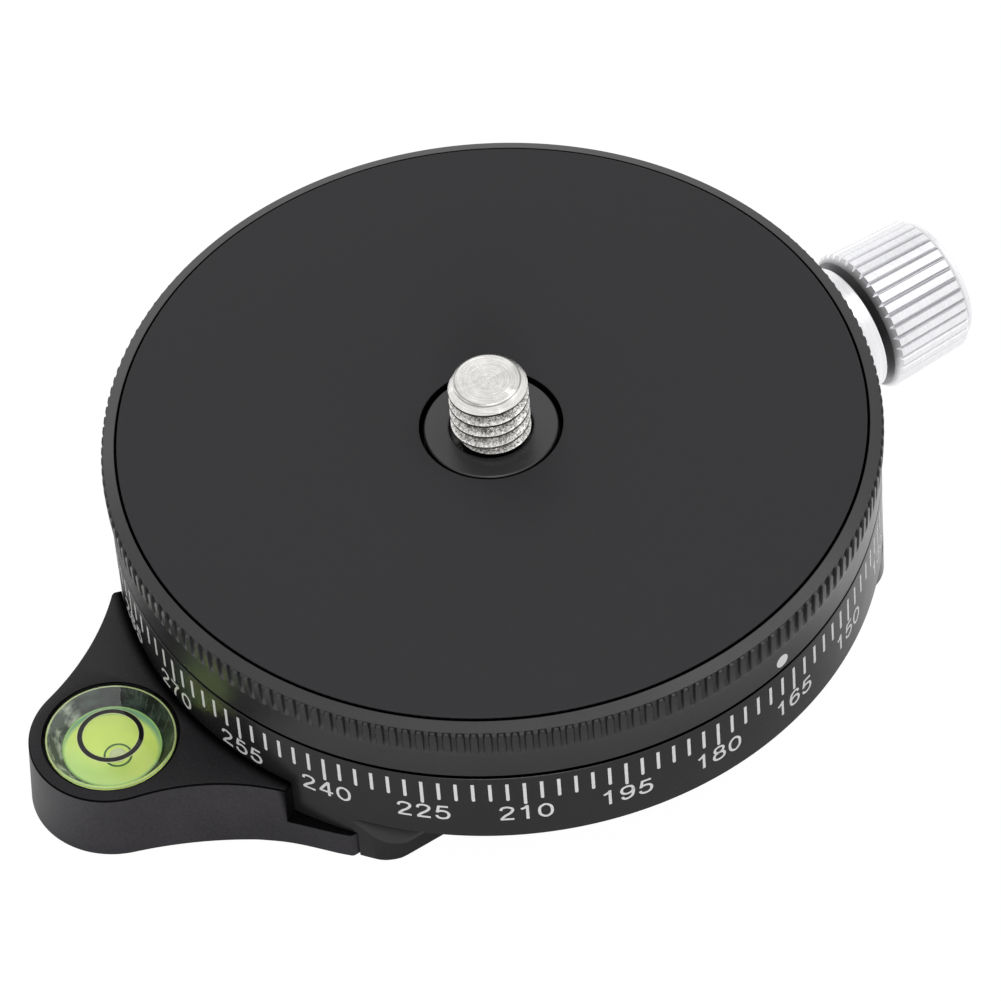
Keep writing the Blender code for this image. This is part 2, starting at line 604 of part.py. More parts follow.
def make_platform(black, pan_axis):
    """The rotating platform with its pad recess, hub, spigot recess and screw holes."""
    name = "rotating_platform"
    platform = add_object(name, knurled_blank_mesh(name), black, parent=pan_axis)

    high = RIM_LAND + CUT_OVERRUN
    profile = [(HUB_RADIUS, RECESS_FLOOR), (PAD_RECESS_RADIUS, RECESS_FLOOR),
               (PAD_RECESS_RADIUS, high), (HUB_RADIUS, high)]
    name = "cutter_pad_recess"
    mesh = spun_mesh(name, profile, LARGE_FACETS)
    cut(platform, add_object(name, mesh, parent=pan_axis))

    spigot = SPINDLE_RADIUS + SEAT_GAP
    low = PLATFORM_BOTTOM - CUT_OVERRUN
    profile = [(0, low), (spigot, low), (spigot, SPIGOT_CEILING),
               (STUD_HOLE_RADIUS, SPIGOT_CEILING), (STUD_HOLE_RADIUS, high), (0, high)]
    name = "cutter_spigot_and_stud"
    mesh = spun_mesh(name, profile, SMALL_FACETS)
    cut(platform, add_object(name, mesh, parent=pan_axis))

    name = "cutter_stud_head"
    outline = hexagon(STUD_HEAD_RADIUS + SEAT_GAP)
    mesh = prism_mesh(name, outline, SPIGOT_CEILING - SPIGOT_DEPTH / 2,
                      SPIGOT_CEILING + STUD_HEAD_THICKNESS + SEAT_GAP)
    cut(platform, add_object(name, mesh, parent=pan_axis))

    hole = screw_hole_mesh("cutter_spindle_screw", SPINDLE_SCREW_RADIUS,
                           SPINDLE_SCREW_HEAD_RADIUS, RECESS_FLOOR - PLATFORM_BOTTOM)
    for index, (x, y) in enumerate(spindle_screw_places(), 1):
        place = (x, y, SPINDLE_HEAD_FACE)
        name = f"cutter_spindle_screw_{index}"
        cut(platform, add_object(name, hole, location=place, parent=pan_axis))


def make_grip_pad(rubber, pan_axis):
    """The thin pad in the platform's recess, with a hole round the hub."""
    bottom = RECESS_FLOOR + RING_GAP
    profile = [(PAD_HOLE_RADIUS, bottom), (PAD_RADIUS, bottom),
               (PAD_RADIUS, PAD_TOP - PAD_EDGE), (PAD_RADIUS - PAD_EDGE, PAD_TOP),
               (PAD_HOLE_RADIUS + PAD_EDGE, PAD_TOP), (PAD_HOLE_RADIUS, PAD_TOP - PAD_EDGE)]
    mesh = spun_mesh("grip_pad", profile, LARGE_FACETS)
    add_object("grip_pad", mesh, rubber, parent=pan_axis)


def make_camera_screw(steel, pan_axis):
    """The fixed camera screw, whose hexagon head is trapped over the spindle."""
    bottom = SPIGOT_CEILING
    shoulder = bottom + STUD_HEAD_THICKNESS
    profile = [
        (0, bottom), (STUD_HEAD_RADIUS, bottom), (STUD_HEAD_RADIUS, shoulder),
        (STUD_RADIUS, shoulder), (STUD_RADIUS, STUD_TOP - STUD_CHAMFER),
        (STUD_RADIUS - STUD_CHAMFER, STUD_TOP), (0, STUD_TOP)]
    mesh = spun_mesh("camera_screw", profile, SMALL_FACETS)
    flatten_to_hexagon(mesh, STUD_HEAD_RADIUS, bottom)
    add_object("camera_screw", mesh, steel, parent=pan_axis)


def make_spindle(steel, pan_axis):
    """The flanged spindle that holds the platform down and turns in the body's bore."""
    inner = SOCKET_BOSS_RADIUS + TURN_GAP + SEAT_GAP
    groove_low = KNOB_AXIS_HEIGHT - SHOE_RADIUS - BRAKE_GROOVE_MARGIN
    groove_high = KNOB_AXIS_HEIGHT + SHOE_RADIUS + BRAKE_GROOVE_MARGIN
    profile = [
        (0, SPINDLE_CEILING), (inner, SPINDLE_CEILING), (inner, FLANGE_BOTTOM),
        (SPINDLE_FLANGE_RADIUS, FLANGE_BOTTOM), (SPINDLE_FLANGE_RADIUS, FLANGE_TOP),
        (SPINDLE_RADIUS, FLANGE_TOP), (SPINDLE_RADIUS, groove_low - BRAKE_GROOVE_DEPTH),
        (BRAKE_RADIUS, groove_low), (BRAKE_RADIUS, groove_high),
        (SPINDLE_RADIUS, groove_high + BRAKE_GROOVE_DEPTH), (SPINDLE_RADIUS, SPINDLE_TOP),
        (0, SPINDLE_TOP)]
    mesh = spun_mesh("spindle", profile, SMALL_FACETS)
    spindle = add_object("spindle", mesh, steel, parent=pan_axis)
    hole = plain_hole_mesh("cutter_spindle_thread", SPINDLE_SCREW_RADIUS + SEAT_GAP,
                           SPINDLE_THREAD_FLOOR, SPINDLE_TOP + CUT_OVERRUN, SCREW_FACETS)
    for index, (x, y) in enumerate(spindle_screw_places(), 1):
        name = f"cutter_spindle_thread_{index}"
        cut(spindle, add_object(name, hole, location=(x, y, 0), parent=pan_axis))


def make_spindle_screws(steel, pan_axis):
    """The countersunk screws under the pad that join the platform to the spindle."""
    length = SPINDLE_HEAD_FACE - SPINDLE_THREAD_FLOOR - 2 * SEAT_GAP
    mesh = countersunk_screw_mesh("spindle_screw", SPINDLE_SCREW_RADIUS,
                                  SPINDLE_SCREW_HEAD_RADIUS, length)
    for index, (x, y) in enumerate(spindle_screw_places(), 1):
        place = (x, y, SPINDLE_HEAD_FACE)
        add_object(f"spindle_screw_{index}", mesh, steel, place, pan_axis)


def make_socket_plate(steel):
    """The plate that closes the foot, with the tripod socket in its boss."""
    profile = [
        (SOCKET_RADIUS, PLATE_INSET), (PLATE_RADIUS, PLATE_INSET), (PLATE_RADIUS, PLATE_TOP),
        (SOCKET_BOSS_RADIUS, PLATE_TOP), (SOCKET_BOSS_RADIUS, SOCKET_TOP),
        (SOCKET_RADIUS, SOCKET_TOP)]
    mesh = spun_mesh("socket_plate", profile, MEDIUM_FACETS)
    plate = add_object("socket_plate", mesh, steel)
    half = PLATE_HALF_WIDTH
    name = "cutter_plate_sides"
    square = [(half, half), (-half, half), (-half, -half), (half, -half)]
    mesh = prism_mesh(name, square, -CUT_OVERRUN, SOCKET_TOP + CUT_OVERRUN)
    cut(plate, add_object(name, mesh), "INTERSECT")
    depth = PLATE_THICKNESS + CUT_OVERRUN
    hole = screw_hole_mesh("cutter_plate_hole", PLATE_SCREW_RADIUS, PLATE_SCREW_HEAD_RADIUS,
                           depth)
    for index, (x, y) in enumerate(plate_screw_places(), 1):
        place = (x, y, PLATE_INSET + SEAT_GAP)
        cutter = add_object(f"cutter_plate_hole_{index}", hole, location=place)
        cutter.rotation_euler.x = math.pi
        cut(plate, cutter)


def make_plate_screws(steel):
    """The countersunk screws of the socket plate, driven from below."""
    mesh = countersunk_screw_mesh("plate_screw", PLATE_SCREW_RADIUS,
                                  PLATE_SCREW_HEAD_RADIUS, PLATE_SCREW_LENGTH)
    for index, (x, y) in enumerate(plate_screw_places(), 1):
        place = (x, y, PLATE_INSET + SEAT_GAP)
        screw = add_object(f"plate_screw_{index}", mesh, steel, place)
        screw.rotation_euler.x = math.pi


def make_reducer_bushing(brass):
    """The slotted bushing that narrows the socket for the smaller tripod screw."""
    profile = [(BUSHING_BORE_RADIUS, BUSHING_BOTTOM), (BUSHING_RADIUS, BUSHING_BOTTOM),
               (BUSHING_RADIUS, BUSHING_TOP), (BUSHING_BORE_RADIUS, BUSHING_TOP)]
    mesh = spun_mesh("reducer_bushing", profile, SMALL_FACETS)
    bushing = add_object("reducer_bushing", mesh, brass)
    half = BUSHING_SLOT_WIDTH / 2
    far = BUSHING_RADIUS + CUT_OVERRUN
    outline = [(half, -far), (half, far), (-half, far), (-half, -far)]
    mesh = prism_mesh("cutter_bushing_slot", outline, BUSHING_BOTTOM - CUT_OVERRUN,
                      BUSHING_BOTTOM + BUSHING_SLOT_DEPTH)
    cut(bushing, add_object("cutter_bushing_slot", mesh))


def flank_centre(end_centre, tip, end_radius, flank_radius):
    """Centre of the hollow flank, which touches the round end and runs out at the tip."""
    reach = end_radius + flank_radius
    run = (tip[0] - end_centre[0], tip[1] - end_centre[1])
    apart = math.hypot(*run)
    along = (reach ** 2 - flank_radius ** 2 + apart ** 2) / (2 * apart)
    aside = math.sqrt(reach ** 2 - along ** 2)
    ahead = (run[0] / apart, run[1] / apart)
    return (end_centre[0] + along * ahead[0] - aside * ahead[1],
            end_centre[1] + along * ahead[1] + aside * ahead[0])


def bracket_outline(end_radius, flank_radius):
    """Plan of the level bracket: round end, hollow flanks, tips and the tongue's sides."""
    end_centre = (-LEVEL_REACH, 0)
    tip = (-TIP_RADIUS * math.cos(TIP_ANGLE), TIP_RADIUS * math.sin(TIP_ANGLE))
    flank = flank_centre(end_centre, tip, end_radius, flank_radius)
    tip_turn = math.atan2(tip[1] - flank[1], tip[0] - flank[0])
    end_turn = math.atan2(end_centre[1] - flank[1], end_centre[0] - flank[0])
    touch = end_turn + math.pi
    slit_angle = math.asin(TONGUE_HALF_WIDTH / TONGUE_END_RADIUS)
    half = [(-TONGUE_REACH, TONGUE_HALF_WIDTH)]
    for step in range(4):
        radius = TONGUE_END_RADIUS + (TIP_RADIUS - TONGUE_END_RADIUS) * step / 4
        turn = math.pi - slit_angle + (slit_angle - TIP_ANGLE) * step / 4
        half.append((radius * math.cos(turn), radius * math.sin(turn)))
    half += arc(flank, flank_radius, tip_turn, end_turn, 8)
    half += arc(end_centre, end_radius, touch, math.pi, 10)[1:]
    return half + [(x, -y) for x, y in reversed(half[:-1])]


def step_outline():
    """Plan of what is cut away above the tongue, round the drum's wall."""
    inside = arc((0, 0), BODY_WALL_RADIUS, math.pi - STEP_ANGLE, math.pi + STEP_ANGLE, 12)
    far = 2 * TIP_RADIUS
    rays = [(far * math.cos(math.pi + side * STEP_ANGLE),
             far * math.sin(math.pi + side * STEP_ANGLE)) for side in (-1, 1)]
    return [rays[0], *inside, rays[1], (0, -far), (0, far)]


def make_level_bracket(black):
    """The bracket that holds the level, with its tongue let into the foot."""
    head = bracket_outline(END_RADIUS, FLANK_RADIUS)
    foot = bracket_outline(END_RADIUS + END_DRAFT, FLANK_FOOT_RADIUS)
    mesh = drafted_mesh("level_bracket", foot, head, BRACKET_UNDERSIDE, BRACKET_TOP,
                        BRACKET_EDGE)
    bracket = add_object("level_bracket", mesh, black)
    mesh = prism_mesh("cutter_bracket_step", step_outline(), TONGUE_TOP,
                      BRACKET_TOP + CUT_OVERRUN)
    cut(bracket, add_object("cutter_bracket_step", mesh))

    seal_seat = BRACKET_TOP - SEAL_HEIGHT - SEAT_GAP
    high = BRACKET_TOP + CUT_OVERRUN
    floor = VIAL_FLOOR - SEAT_GAP
    profile = [(0, high), (SEAL_POCKET_RADIUS, high), (SEAL_POCKET_RADIUS, seal_seat),
               (VIAL_POCKET_RADIUS, seal_seat), (VIAL_POCKET_RADIUS, floor), (0, floor)]
    mesh = spun_mesh("cutter_level_pocket", profile, SMALL_FACETS)
    cut(bracket, add_object("cutter_level_pocket", mesh, location=(-LEVEL_REACH, 0, 0)))

    depth = TONGUE_TOP + CUT_OVERRUN
    hole = screw_hole_mesh("cutter_bracket_hole", BRACKET_SCREW_RADIUS,
                           BRACKET_SCREW_HEAD_RADIUS, depth)
    for index, (x, y) in enumerate(bracket_screw_places(), 1):
        place = (x, y, BRACKET_UNDERSIDE + SEAT_GAP)
        cutter = add_object(f"cutter_bracket_hole_{index}", hole, location=place)
        cutter.rotation_euler.x = math.pi
        cut(bracket, cutter)


def make_bracket_screws(steel):
    """The screws that hold the bracket's tongue up into the foot."""
    mesh = countersunk_screw_mesh("bracket_screw", BRACKET_SCREW_RADIUS,
                                  BRACKET_SCREW_HEAD_RADIUS, BRACKET_SCREW_LENGTH)
    for index, (x, y) in enumerate(bracket_screw_places(), 1):
        place = (x, y, BRACKET_UNDERSIDE + SEAT_GAP)
        screw = add_object(f"bracket_screw_{index}", mesh, steel, place)
        screw.rotation_euler.x = math.pi


def dome(radius, edge_height, rise, steps):
    """Section of a shallow dome from its middle out to its edge."""
    sphere = (radius ** 2 + rise ** 2) / (2 * rise)
    spread = math.asin(radius / sphere)
    turns = [spread * step / steps for step in range(steps + 1)]
    return [(sphere * math.sin(turn),
             edge_height + rise - sphere * (1 - math.cos(turn))) for turn in turns]


def make_level(acrylic, fluid, acetal, rubber):
    """The bull's-eye level: domed vial, fluid, closing plug and black seal."""
    place = (-LEVEL_REACH, 0, 0)
    chamber = VIAL_RADIUS - VIAL_WALL
    edge = BRACKET_TOP + VIAL_EDGE_RISE
    ceiling = edge - VIAL_CEILING
    outside = dome(VIAL_RADIUS, edge, VIAL_DOME_RISE, 3)
    inside = dome(chamber, ceiling, VIAL_INNER_RISE, 2)
    profile = outside + [(VIAL_RADIUS, VIAL_FLOOR), (chamber, VIAL_FLOOR)] + inside[::-1]
    mesh = spun_mesh("level_vial", profile, SMALL_FACETS)
    add_object("level_vial", mesh, acrylic, place)

    inset = chamber - RING_GAP
    surface = dome(inset, ceiling - RING_GAP, VIAL_INNER_RISE, 2)
    top = VIAL_FLOOR + PLUG_THICKNESS
    bottom = top + RING_GAP
    mesh = spun_mesh("level_fluid", surface + [(inset, bottom), (0, bottom)], SMALL_FACETS)
    add_object("level_fluid", mesh, fluid, place)

    profile = [(0, top), (inset, top), (inset, VIAL_FLOOR), (0, VIAL_FLOOR)]
    add_object("level_plug", spun_mesh("level_plug", profile, SMALL_FACETS), acetal, place)

    inner = VIAL_RADIUS + RING_GAP
    outer = inner + SEAL_WIDTH
    low = BRACKET_TOP - SEAL_HEIGHT
    profile = [(inner, low), (outer, low), (outer, BRACKET_TOP - RING_GAP),
               (inner, BRACKET_TOP - RING_GAP)]
    add_object("level_seal", spun_mesh("level_seal", profile, SMALL_FACETS), rubber, place)


def make_knob_collar(silver, knob_line):
    """The flanged threaded bush between the drum and the knob."""
    bore = LOCK_SCREW_RADIUS + SEAT_GAP
    profile = [
        (bore, COLLAR_SPIGOT_START), (COLLAR_SPIGOT_RADIUS, COLLAR_SPIGOT_START),
        (COLLAR_SPIGOT_RADIUS, COLLAR_SEAT), (COLLAR_RADIUS, COLLAR_SEAT),
        (COLLAR_RADIUS, COLLAR_END - COLLAR_EDGE), (COLLAR_RADIUS - COLLAR_EDGE, COLLAR_END),
        (bore, COLLAR_END)]
    mesh = spun_mesh("knob_collar", profile, SMALL_FACETS)
    add_object("knob_collar", mesh, silver, parent=knob_line)


def fluted_knob_mesh(name):
    """The knob's tapered barrel, with V flutes that come to points on its chamfers."""
    bm = bmesh.new()
    pitch = 2 * math.pi / FLUTE_COUNT
    inner_end = KNOB_INNER_RADIUS - KNOB_INNER_CHAMFER
    outer_end = KNOB_OUTER_RADIUS - KNOB_OUTER_CHAMFER
    valley_in = KNOB_INNER_RADIUS - FLUTE_DEPTH
    valley_out = KNOB_OUTER_RADIUS - FLUTE_DEPTH
    crest_in = KNOB_START + KNOB_INNER_CHAMFER
    flute_out = KNOB_END - KNOB_RIM
    crest_out = flute_out - KNOB_OUTER_CHAMFER
    rows = [
        (inner_end, inner_end, KNOB_START, KNOB_START),
        (KNOB_INNER_RADIUS, valley_in, crest_in, crest_in - FLUTE_DEPTH),
        (KNOB_OUTER_RADIUS, valley_out, crest_out, crest_out + FLUTE_DEPTH),
        (outer_end, outer_end, flute_out, flute_out),
        (outer_end, outer_end, KNOB_END, KNOB_END)]
    rings = []
    for crest, valley, crest_along, valley_along in rows:
        ring = []
        for index in range(FLUTE_COUNT):
            for share, radius, along in ((0, crest, crest_along),
                                         (CREST_SHARE, crest, crest_along),
                                         ((1 + CREST_SHARE) / 2, valley, valley_along)):
                turn = (index + share) * pitch
                ring.append(bm.verts.new((radius * math.cos(turn), radius * math.sin(turn),
                                          along)))
        rings.append(ring)
    for low, high in zip(rings, rings[1:]):
        for first, second in zip(range(len(low)), [*range(1, len(low)), 0]):
            bm.faces.new((low[first], low[second], high[second], high[first]))
    bm.faces.new(rings[0])
    bm.faces.new(rings[-1])
    return mesh_from(name, bm)


def make_lock_knob(silver, knob_line):
    """The knob, bored for the lock screw and for the screw that holds it there."""
    knob = add_object("lock_knob", fluted_knob_mesh("lock_knob"), silver, parent=knob_line)
    bore = LOCK_SCREW_RADIUS + SEAT_GAP
    seat = KNOB_SCREW_SEAT - SEAT_GAP
    head = KNOB_SCREW_HEAD_RADIUS + SEAT_GAP
    shaft = KNOB_SCREW_RADIUS + SEAT_GAP
    profile = [
        (0, KNOB_END + CUT_OVERRUN), (head, KNOB_END + CUT_OVERRUN), (head, seat),
        (shaft, seat), (shaft, KNOB_BORE_FLOOR), (bore, KNOB_BORE_FLOOR),
        (bore, KNOB_START - CUT_OVERRUN), (0, KNOB_START - CUT_OVERRUN)]
    mesh = spun_mesh("cutter_knob_hole", profile, SMALL_FACETS)
    cut(knob, add_object("cutter_knob_hole", mesh, parent=knob_line))


def make_lock_screw(steel, knob_line):
    """The screw that the knob turns, tapped at its outer end."""
    tapped = KNOB_SCREW_RADIUS + SEAT_GAP
    depth = LOCK_SCREW_END - KNOB_SCREW_LENGTH
    nose = LOCK_SCREW_RADIUS - SHOE_NOSE_EDGE
    profile = [
        (0, LOCK_SCREW_START), (nose, LOCK_SCREW_START),
        (LOCK_SCREW_RADIUS, LOCK_SCREW_START + SHOE_NOSE_EDGE),
        (LOCK_SCREW_RADIUS, LOCK_SCREW_END), (tapped, LOCK_SCREW_END), (tapped, depth),
        (0, depth)]
    mesh = spun_mesh("lock_screw", profile, SMALL_FACETS)
    add_object("lock_screw", mesh, steel, parent=knob_line)


def make_knob_screw(steel, knob_line):
    """The socket screw in the knob's end that holds it on the lock screw."""
    socket_radius = KNOB_SCREW_HEAD_RADIUS * HEX_SOCKET_SHARE
    socket_floor = KNOB_SCREW_TOP - KNOB_SCREW_HEAD_RADIUS * HEX_DEPTH_SHARE
    tip = KNOB_SCREW_SEAT - KNOB_SCREW_LENGTH
    profile = [
        (0, socket_floor), (socket_radius, socket_floor), (socket_radius, KNOB_SCREW_TOP),
        (KNOB_SCREW_HEAD_RADIUS, KNOB_SCREW_TOP), (KNOB_SCREW_HEAD_RADIUS, KNOB_SCREW_SEAT),
        (KNOB_SCREW_RADIUS, KNOB_SCREW_SEAT), (KNOB_SCREW_RADIUS, tip), (0, tip)]
    mesh = spun_mesh("knob_screw", profile, SCREW_FACETS)
    flatten_to_hexagon(mesh, socket_radius, KNOB_SCREW_SEAT)
    add_object("knob_screw", mesh, steel, parent=knob_line)


def make_brake_shoe(brass, knob_line):
    """The shoe that the lock screw presses into the spindle's brake groove."""
    nose = SHOE_RADIUS - SHOE_NOSE_EDGE
    profile = [(0, SHOE_START), (nose, SHOE_START), (SHOE_RADIUS, SHOE_START + SHOE_NOSE_EDGE),
               (SHOE_RADIUS, SHOE_END), (0, SHOE_END)]
    mesh = spun_mesh("brake_shoe", profile, SMALL_FACETS)
    add_object("brake_shoe", mesh, brass, parent=knob_line)


def add_axis(name, location, rotation):
    """An empty on the axis that moving pieces turn about or slide along."""
    axis = bpy.data.objects.new(name, None)
    axis.location = location
    axis.rotation_euler = rotation
    bpy.context.scene.collection.objects.link(axis)
    return axis


def main():
    """Build the whole product."""
    clear_scene()
    finishes = make_finishes()
    pan_axis = add_axis("pan_axis", (0, 0, 0), (0, 0, 0))
    knob_line = add_axis("knob_line", (0, 0, KNOB_AXIS_HEIGHT), (0, math.pi / 2, 0))

    make_base_body(finishes["black"], knob_line)
    make_glide_ring(finishes["acetal"])
    make_thrust_washer(finishes["acetal"])
    make_socket_plate(finishes["steel"])
    make_plate_screws(finishes["steel"])
    make_reducer_bushing(finishes["brass"])
    make_level_bracket(finishes["black"])
    make_bracket_screws(finishes["steel"])
    make_level(finishes["acrylic"], finishes["fluid"], finishes["acetal"], finishes["pad"])
    make_knob_collar(finishes["silver"], knob_line)

    make_platform(finishes["black"], pan_axis)
    make_grip_pad(finishes["pad"], pan_axis)
    make_camera_screw(finishes["steel"], pan_axis)
    make_spindle(finishes["steel"], pan_axis)
    make_spindle_screws(finishes["steel"], pan_axis)

    make_brake_shoe(finishes["brass"], knob_line)
    make_lock_screw(finishes["steel"], knob_line)
    make_lock_knob(finishes["silver"], knob_line)
    make_knob_screw(finishes["steel"], knob_line)
    bpy.context.view_layer.update()


main()
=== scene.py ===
"""Looks of a panoramic tripod base, built round its packed CAD model.

The file is laid out as an add-on. Property groups hold the sizes and the colours that a
user would change, each piece or group of like pieces has one operator, and main() calls
them in order. Every length is in metres, in the frame of the CAD model: +Z runs up the
pan axis and +X out along the lock knob's axis.
"""

import json
import math

import bmesh
import bpy
from bpy.props import FloatProperty, FloatVectorProperty, IntProperty, PointerProperty
from mathutils import Matrix, Vector


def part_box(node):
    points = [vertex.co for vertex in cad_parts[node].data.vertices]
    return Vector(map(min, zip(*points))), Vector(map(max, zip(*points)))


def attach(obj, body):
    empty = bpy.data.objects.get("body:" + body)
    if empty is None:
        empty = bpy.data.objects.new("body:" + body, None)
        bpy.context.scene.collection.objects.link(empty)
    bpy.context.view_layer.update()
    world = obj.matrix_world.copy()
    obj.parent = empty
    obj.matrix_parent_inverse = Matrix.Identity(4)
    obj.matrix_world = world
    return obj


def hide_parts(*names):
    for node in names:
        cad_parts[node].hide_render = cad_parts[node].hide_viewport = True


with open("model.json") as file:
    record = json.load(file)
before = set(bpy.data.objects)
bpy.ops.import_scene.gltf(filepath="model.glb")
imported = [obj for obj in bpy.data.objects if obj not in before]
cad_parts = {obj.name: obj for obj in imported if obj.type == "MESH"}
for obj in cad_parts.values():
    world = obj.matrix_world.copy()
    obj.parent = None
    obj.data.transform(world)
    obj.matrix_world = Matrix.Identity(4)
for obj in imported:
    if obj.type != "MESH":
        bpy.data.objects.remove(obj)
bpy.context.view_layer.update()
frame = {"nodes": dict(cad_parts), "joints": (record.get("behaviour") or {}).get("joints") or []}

bl_info = {
    "name": "Panoramic tripod base",
    "version": (1, 0, 0),
    "blender": (4, 5, 0),
    "location": "3D View > Sidebar > Tripod Base",
    "description": "Builds the looks of a panning tripod base round its CAD frame",
    "category": "Add Mesh",
}

BOX = {name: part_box(name) for name in frame["nodes"]}

# Facets and tolerances of the fine meshes
ROUND = 256
SMALL_ROUND = 96
FILLET_STEPS = 3
WELD = 0.0000005
OVERRUN = 0.001
CRISP = math.radians(20)
SOFT = math.radians(34)

# The seats and axes that the fine pieces share with their CAD nodes
SEAT_GAP = 0.0002
KNOB_AXIS = Vector(frame["joints"][-1]["pos_m"]) * Vector((0, 0, 1))
LEVEL_CENTRE = (BOX["level_vial"][0] + BOX["level_vial"][1]) / 2 * Vector((1, 1, 0))
PAN_AXIS = (0, 0)
BUBBLE_CENTRE = (-0.03744, -0.00172)

# Radii of the countersunk screws' shanks and heads, and sizes that pieces share
ARM_SCREW = (0.00125, 0.0022)
PLATE_SCREW = (0.0010, 0.0018)
CAP_HEAD = 0.0015
ROD_HOLE = 0.0027
TRIPOD_PITCH = 0.00127


# Properties

def length(name, description, default):
    """A length in metres that a user may change."""
    return FloatProperty(name=name, description=description, default=default, min=0,
                         unit="LENGTH", subtype="DISTANCE", precision=5)


def angle(name, description, degrees):
    """An angle that a user may change."""
    return FloatProperty(name=name, description=description, default=math.radians(degrees),
                         unit="ROTATION", subtype="ANGLE")


def colour(name, description, default):
    """A colour that a user may change."""
    return FloatVectorProperty(name=name, description=description, default=default, size=3,
                               min=0, max=1, subtype="COLOR")


def share(name, description, default):
    """A factor between 0 and 1 that a user may change."""
    return FloatProperty(name=name, description=description, default=default, min=0, max=1,
                         subtype="FACTOR")


class PlatformSizes(bpy.types.PropertyGroup):
    """Sizes of the rotating platform, its pad and its camera screw."""

    radius: length("Radius", "Of the rim's lands", BOX["rotating_platform"][1].x)
    band_radius: length("Band radius", "Of the plain band under the grooves", 0.03072)
    underside: length("Underside", "Height of the underside",
                      BOX["rotating_platform"][0].z)
    land: length("Land", "Height of the rim round the pad", BOX["rotating_platform"][1].z)
    chamfer_width: length("Chamfer width", "Of the rim's sloping edge", 0.00105)
    chamfer_rise: length("Chamfer rise", "Of the rim's sloping edge", 0.00042)
    recess_depth: length("Recess depth", "Of the pad's recess", 0.0005)
    recess_radius: length("Recess radius", "Of the pad's recess", 0.02991)
    groove_count: IntProperty(name="Grooves", description="Round the rim", default=183,
                              min=12)
    groove_depth: length("Groove depth", "At the middle of a groove", 0.00028)
    lip: length("Lip", "How far the smooth edge stands over the grooves", 0.00008)
    undercut: length("Undercut", "Of the grooves under that edge", 0.00018)
    undercut_length: length("Undercut length", "Down from the edge", 0.00055)
    gap_depth: length("Gap depth", "Of the dark gaps beside the pad", 0.0014)
    groove_width: length("Groove width", "At the mouth of a groove", 0.00060)
    groove_length: length("Groove length", "Down from the rim's edge", 0.0023)
    groove_end: length("Groove end", "Height of a groove's sloping end", 0.00060)
    hub_radius: length("Hub radius", "Of the disc inside the pad's hole", 0.00535)
    hole_radius: length("Hole radius", "Of the screw's hole", 0.0033)
    spigot_radius: length("Spigot radius", "Of the recess underneath", 0.0122)
    spigot_ceiling: length("Spigot ceiling", "Height of that recess", 0.0134)
    dot_radius: length("Dot radius", "Of the index dot", 0.00062)
    dot_height: length("Dot height", "Of the index dot's middle", 0.0132)
    dot_angle: angle("Dot angle", "Of the index dot about the pan axis", -77.7)


class StudSizes(bpy.types.PropertyGroup):
    """Sizes of the camera screw."""

    radius: length("Radius", "Over the thread's crests", 0.003175)
    pitch: length("Pitch", "Of the thread", 0.00127)
    depth: length("Thread depth", "From crest to root", 0.00074)
    chamfer: length("Chamfer", "Of the top", 0.00057)
    neck: length("Neck", "Radius of the plain neck under the thread", 0.0024)
    thread_end: length("Thread end", "Height of the thread's lower end", 0.01765)


class DrumSizes(bpy.types.PropertyGroup):
    """Sizes of the graduated drum, its scale and its dovetail foot."""

    radius: length("Radius", "Of the drum", 0.0307)
    top: length("Top", "Height of the drum", BOX["base_body"][1].z)
    wall_top: length("Wall top", "Height of the wall's upper edge", 0.01174)
    gap_reach: length("Gap reach", "Radius of the dark gap over the wall", 0.0290)
    foot_height: length("Foot height", "Of the dovetail foot", 0.0043)
    foot_width: length("Foot width", "Across the dovetail's lips", 0.0390)
    lip: length("Lip", "Upright height of the dovetail's lips", 0.0017)
    edge: length("Edge", "Of the bevel over the dovetail's sides", 0.00035)
    foot_corner: length("Foot corner", "Radius of the foot's corners in plan", 0.0035)
    tick_width: length("Tick width", "Of the scale's lines", 0.00027)
    tick_top: length("Tick top", "Height of the lines' upper ends", 0.01105)
    short_tick: length("Short line", "Height of the short lines' lower ends", 0.0090)
    long_tick: length("Long line", "Height of the long lines' lower ends", 0.00846)
    digit_base: length("Digit base", "Height of the numbers' feet", 0.0066)
    digit_height: length("Digit height", "Of the numbers", 0.00170)
    digit_width: length("Digit width", "Of a number with three digits", 0.00430)
    zero_angle: angle("Zero", "Of the scale's zero about the pan axis", 89.737)


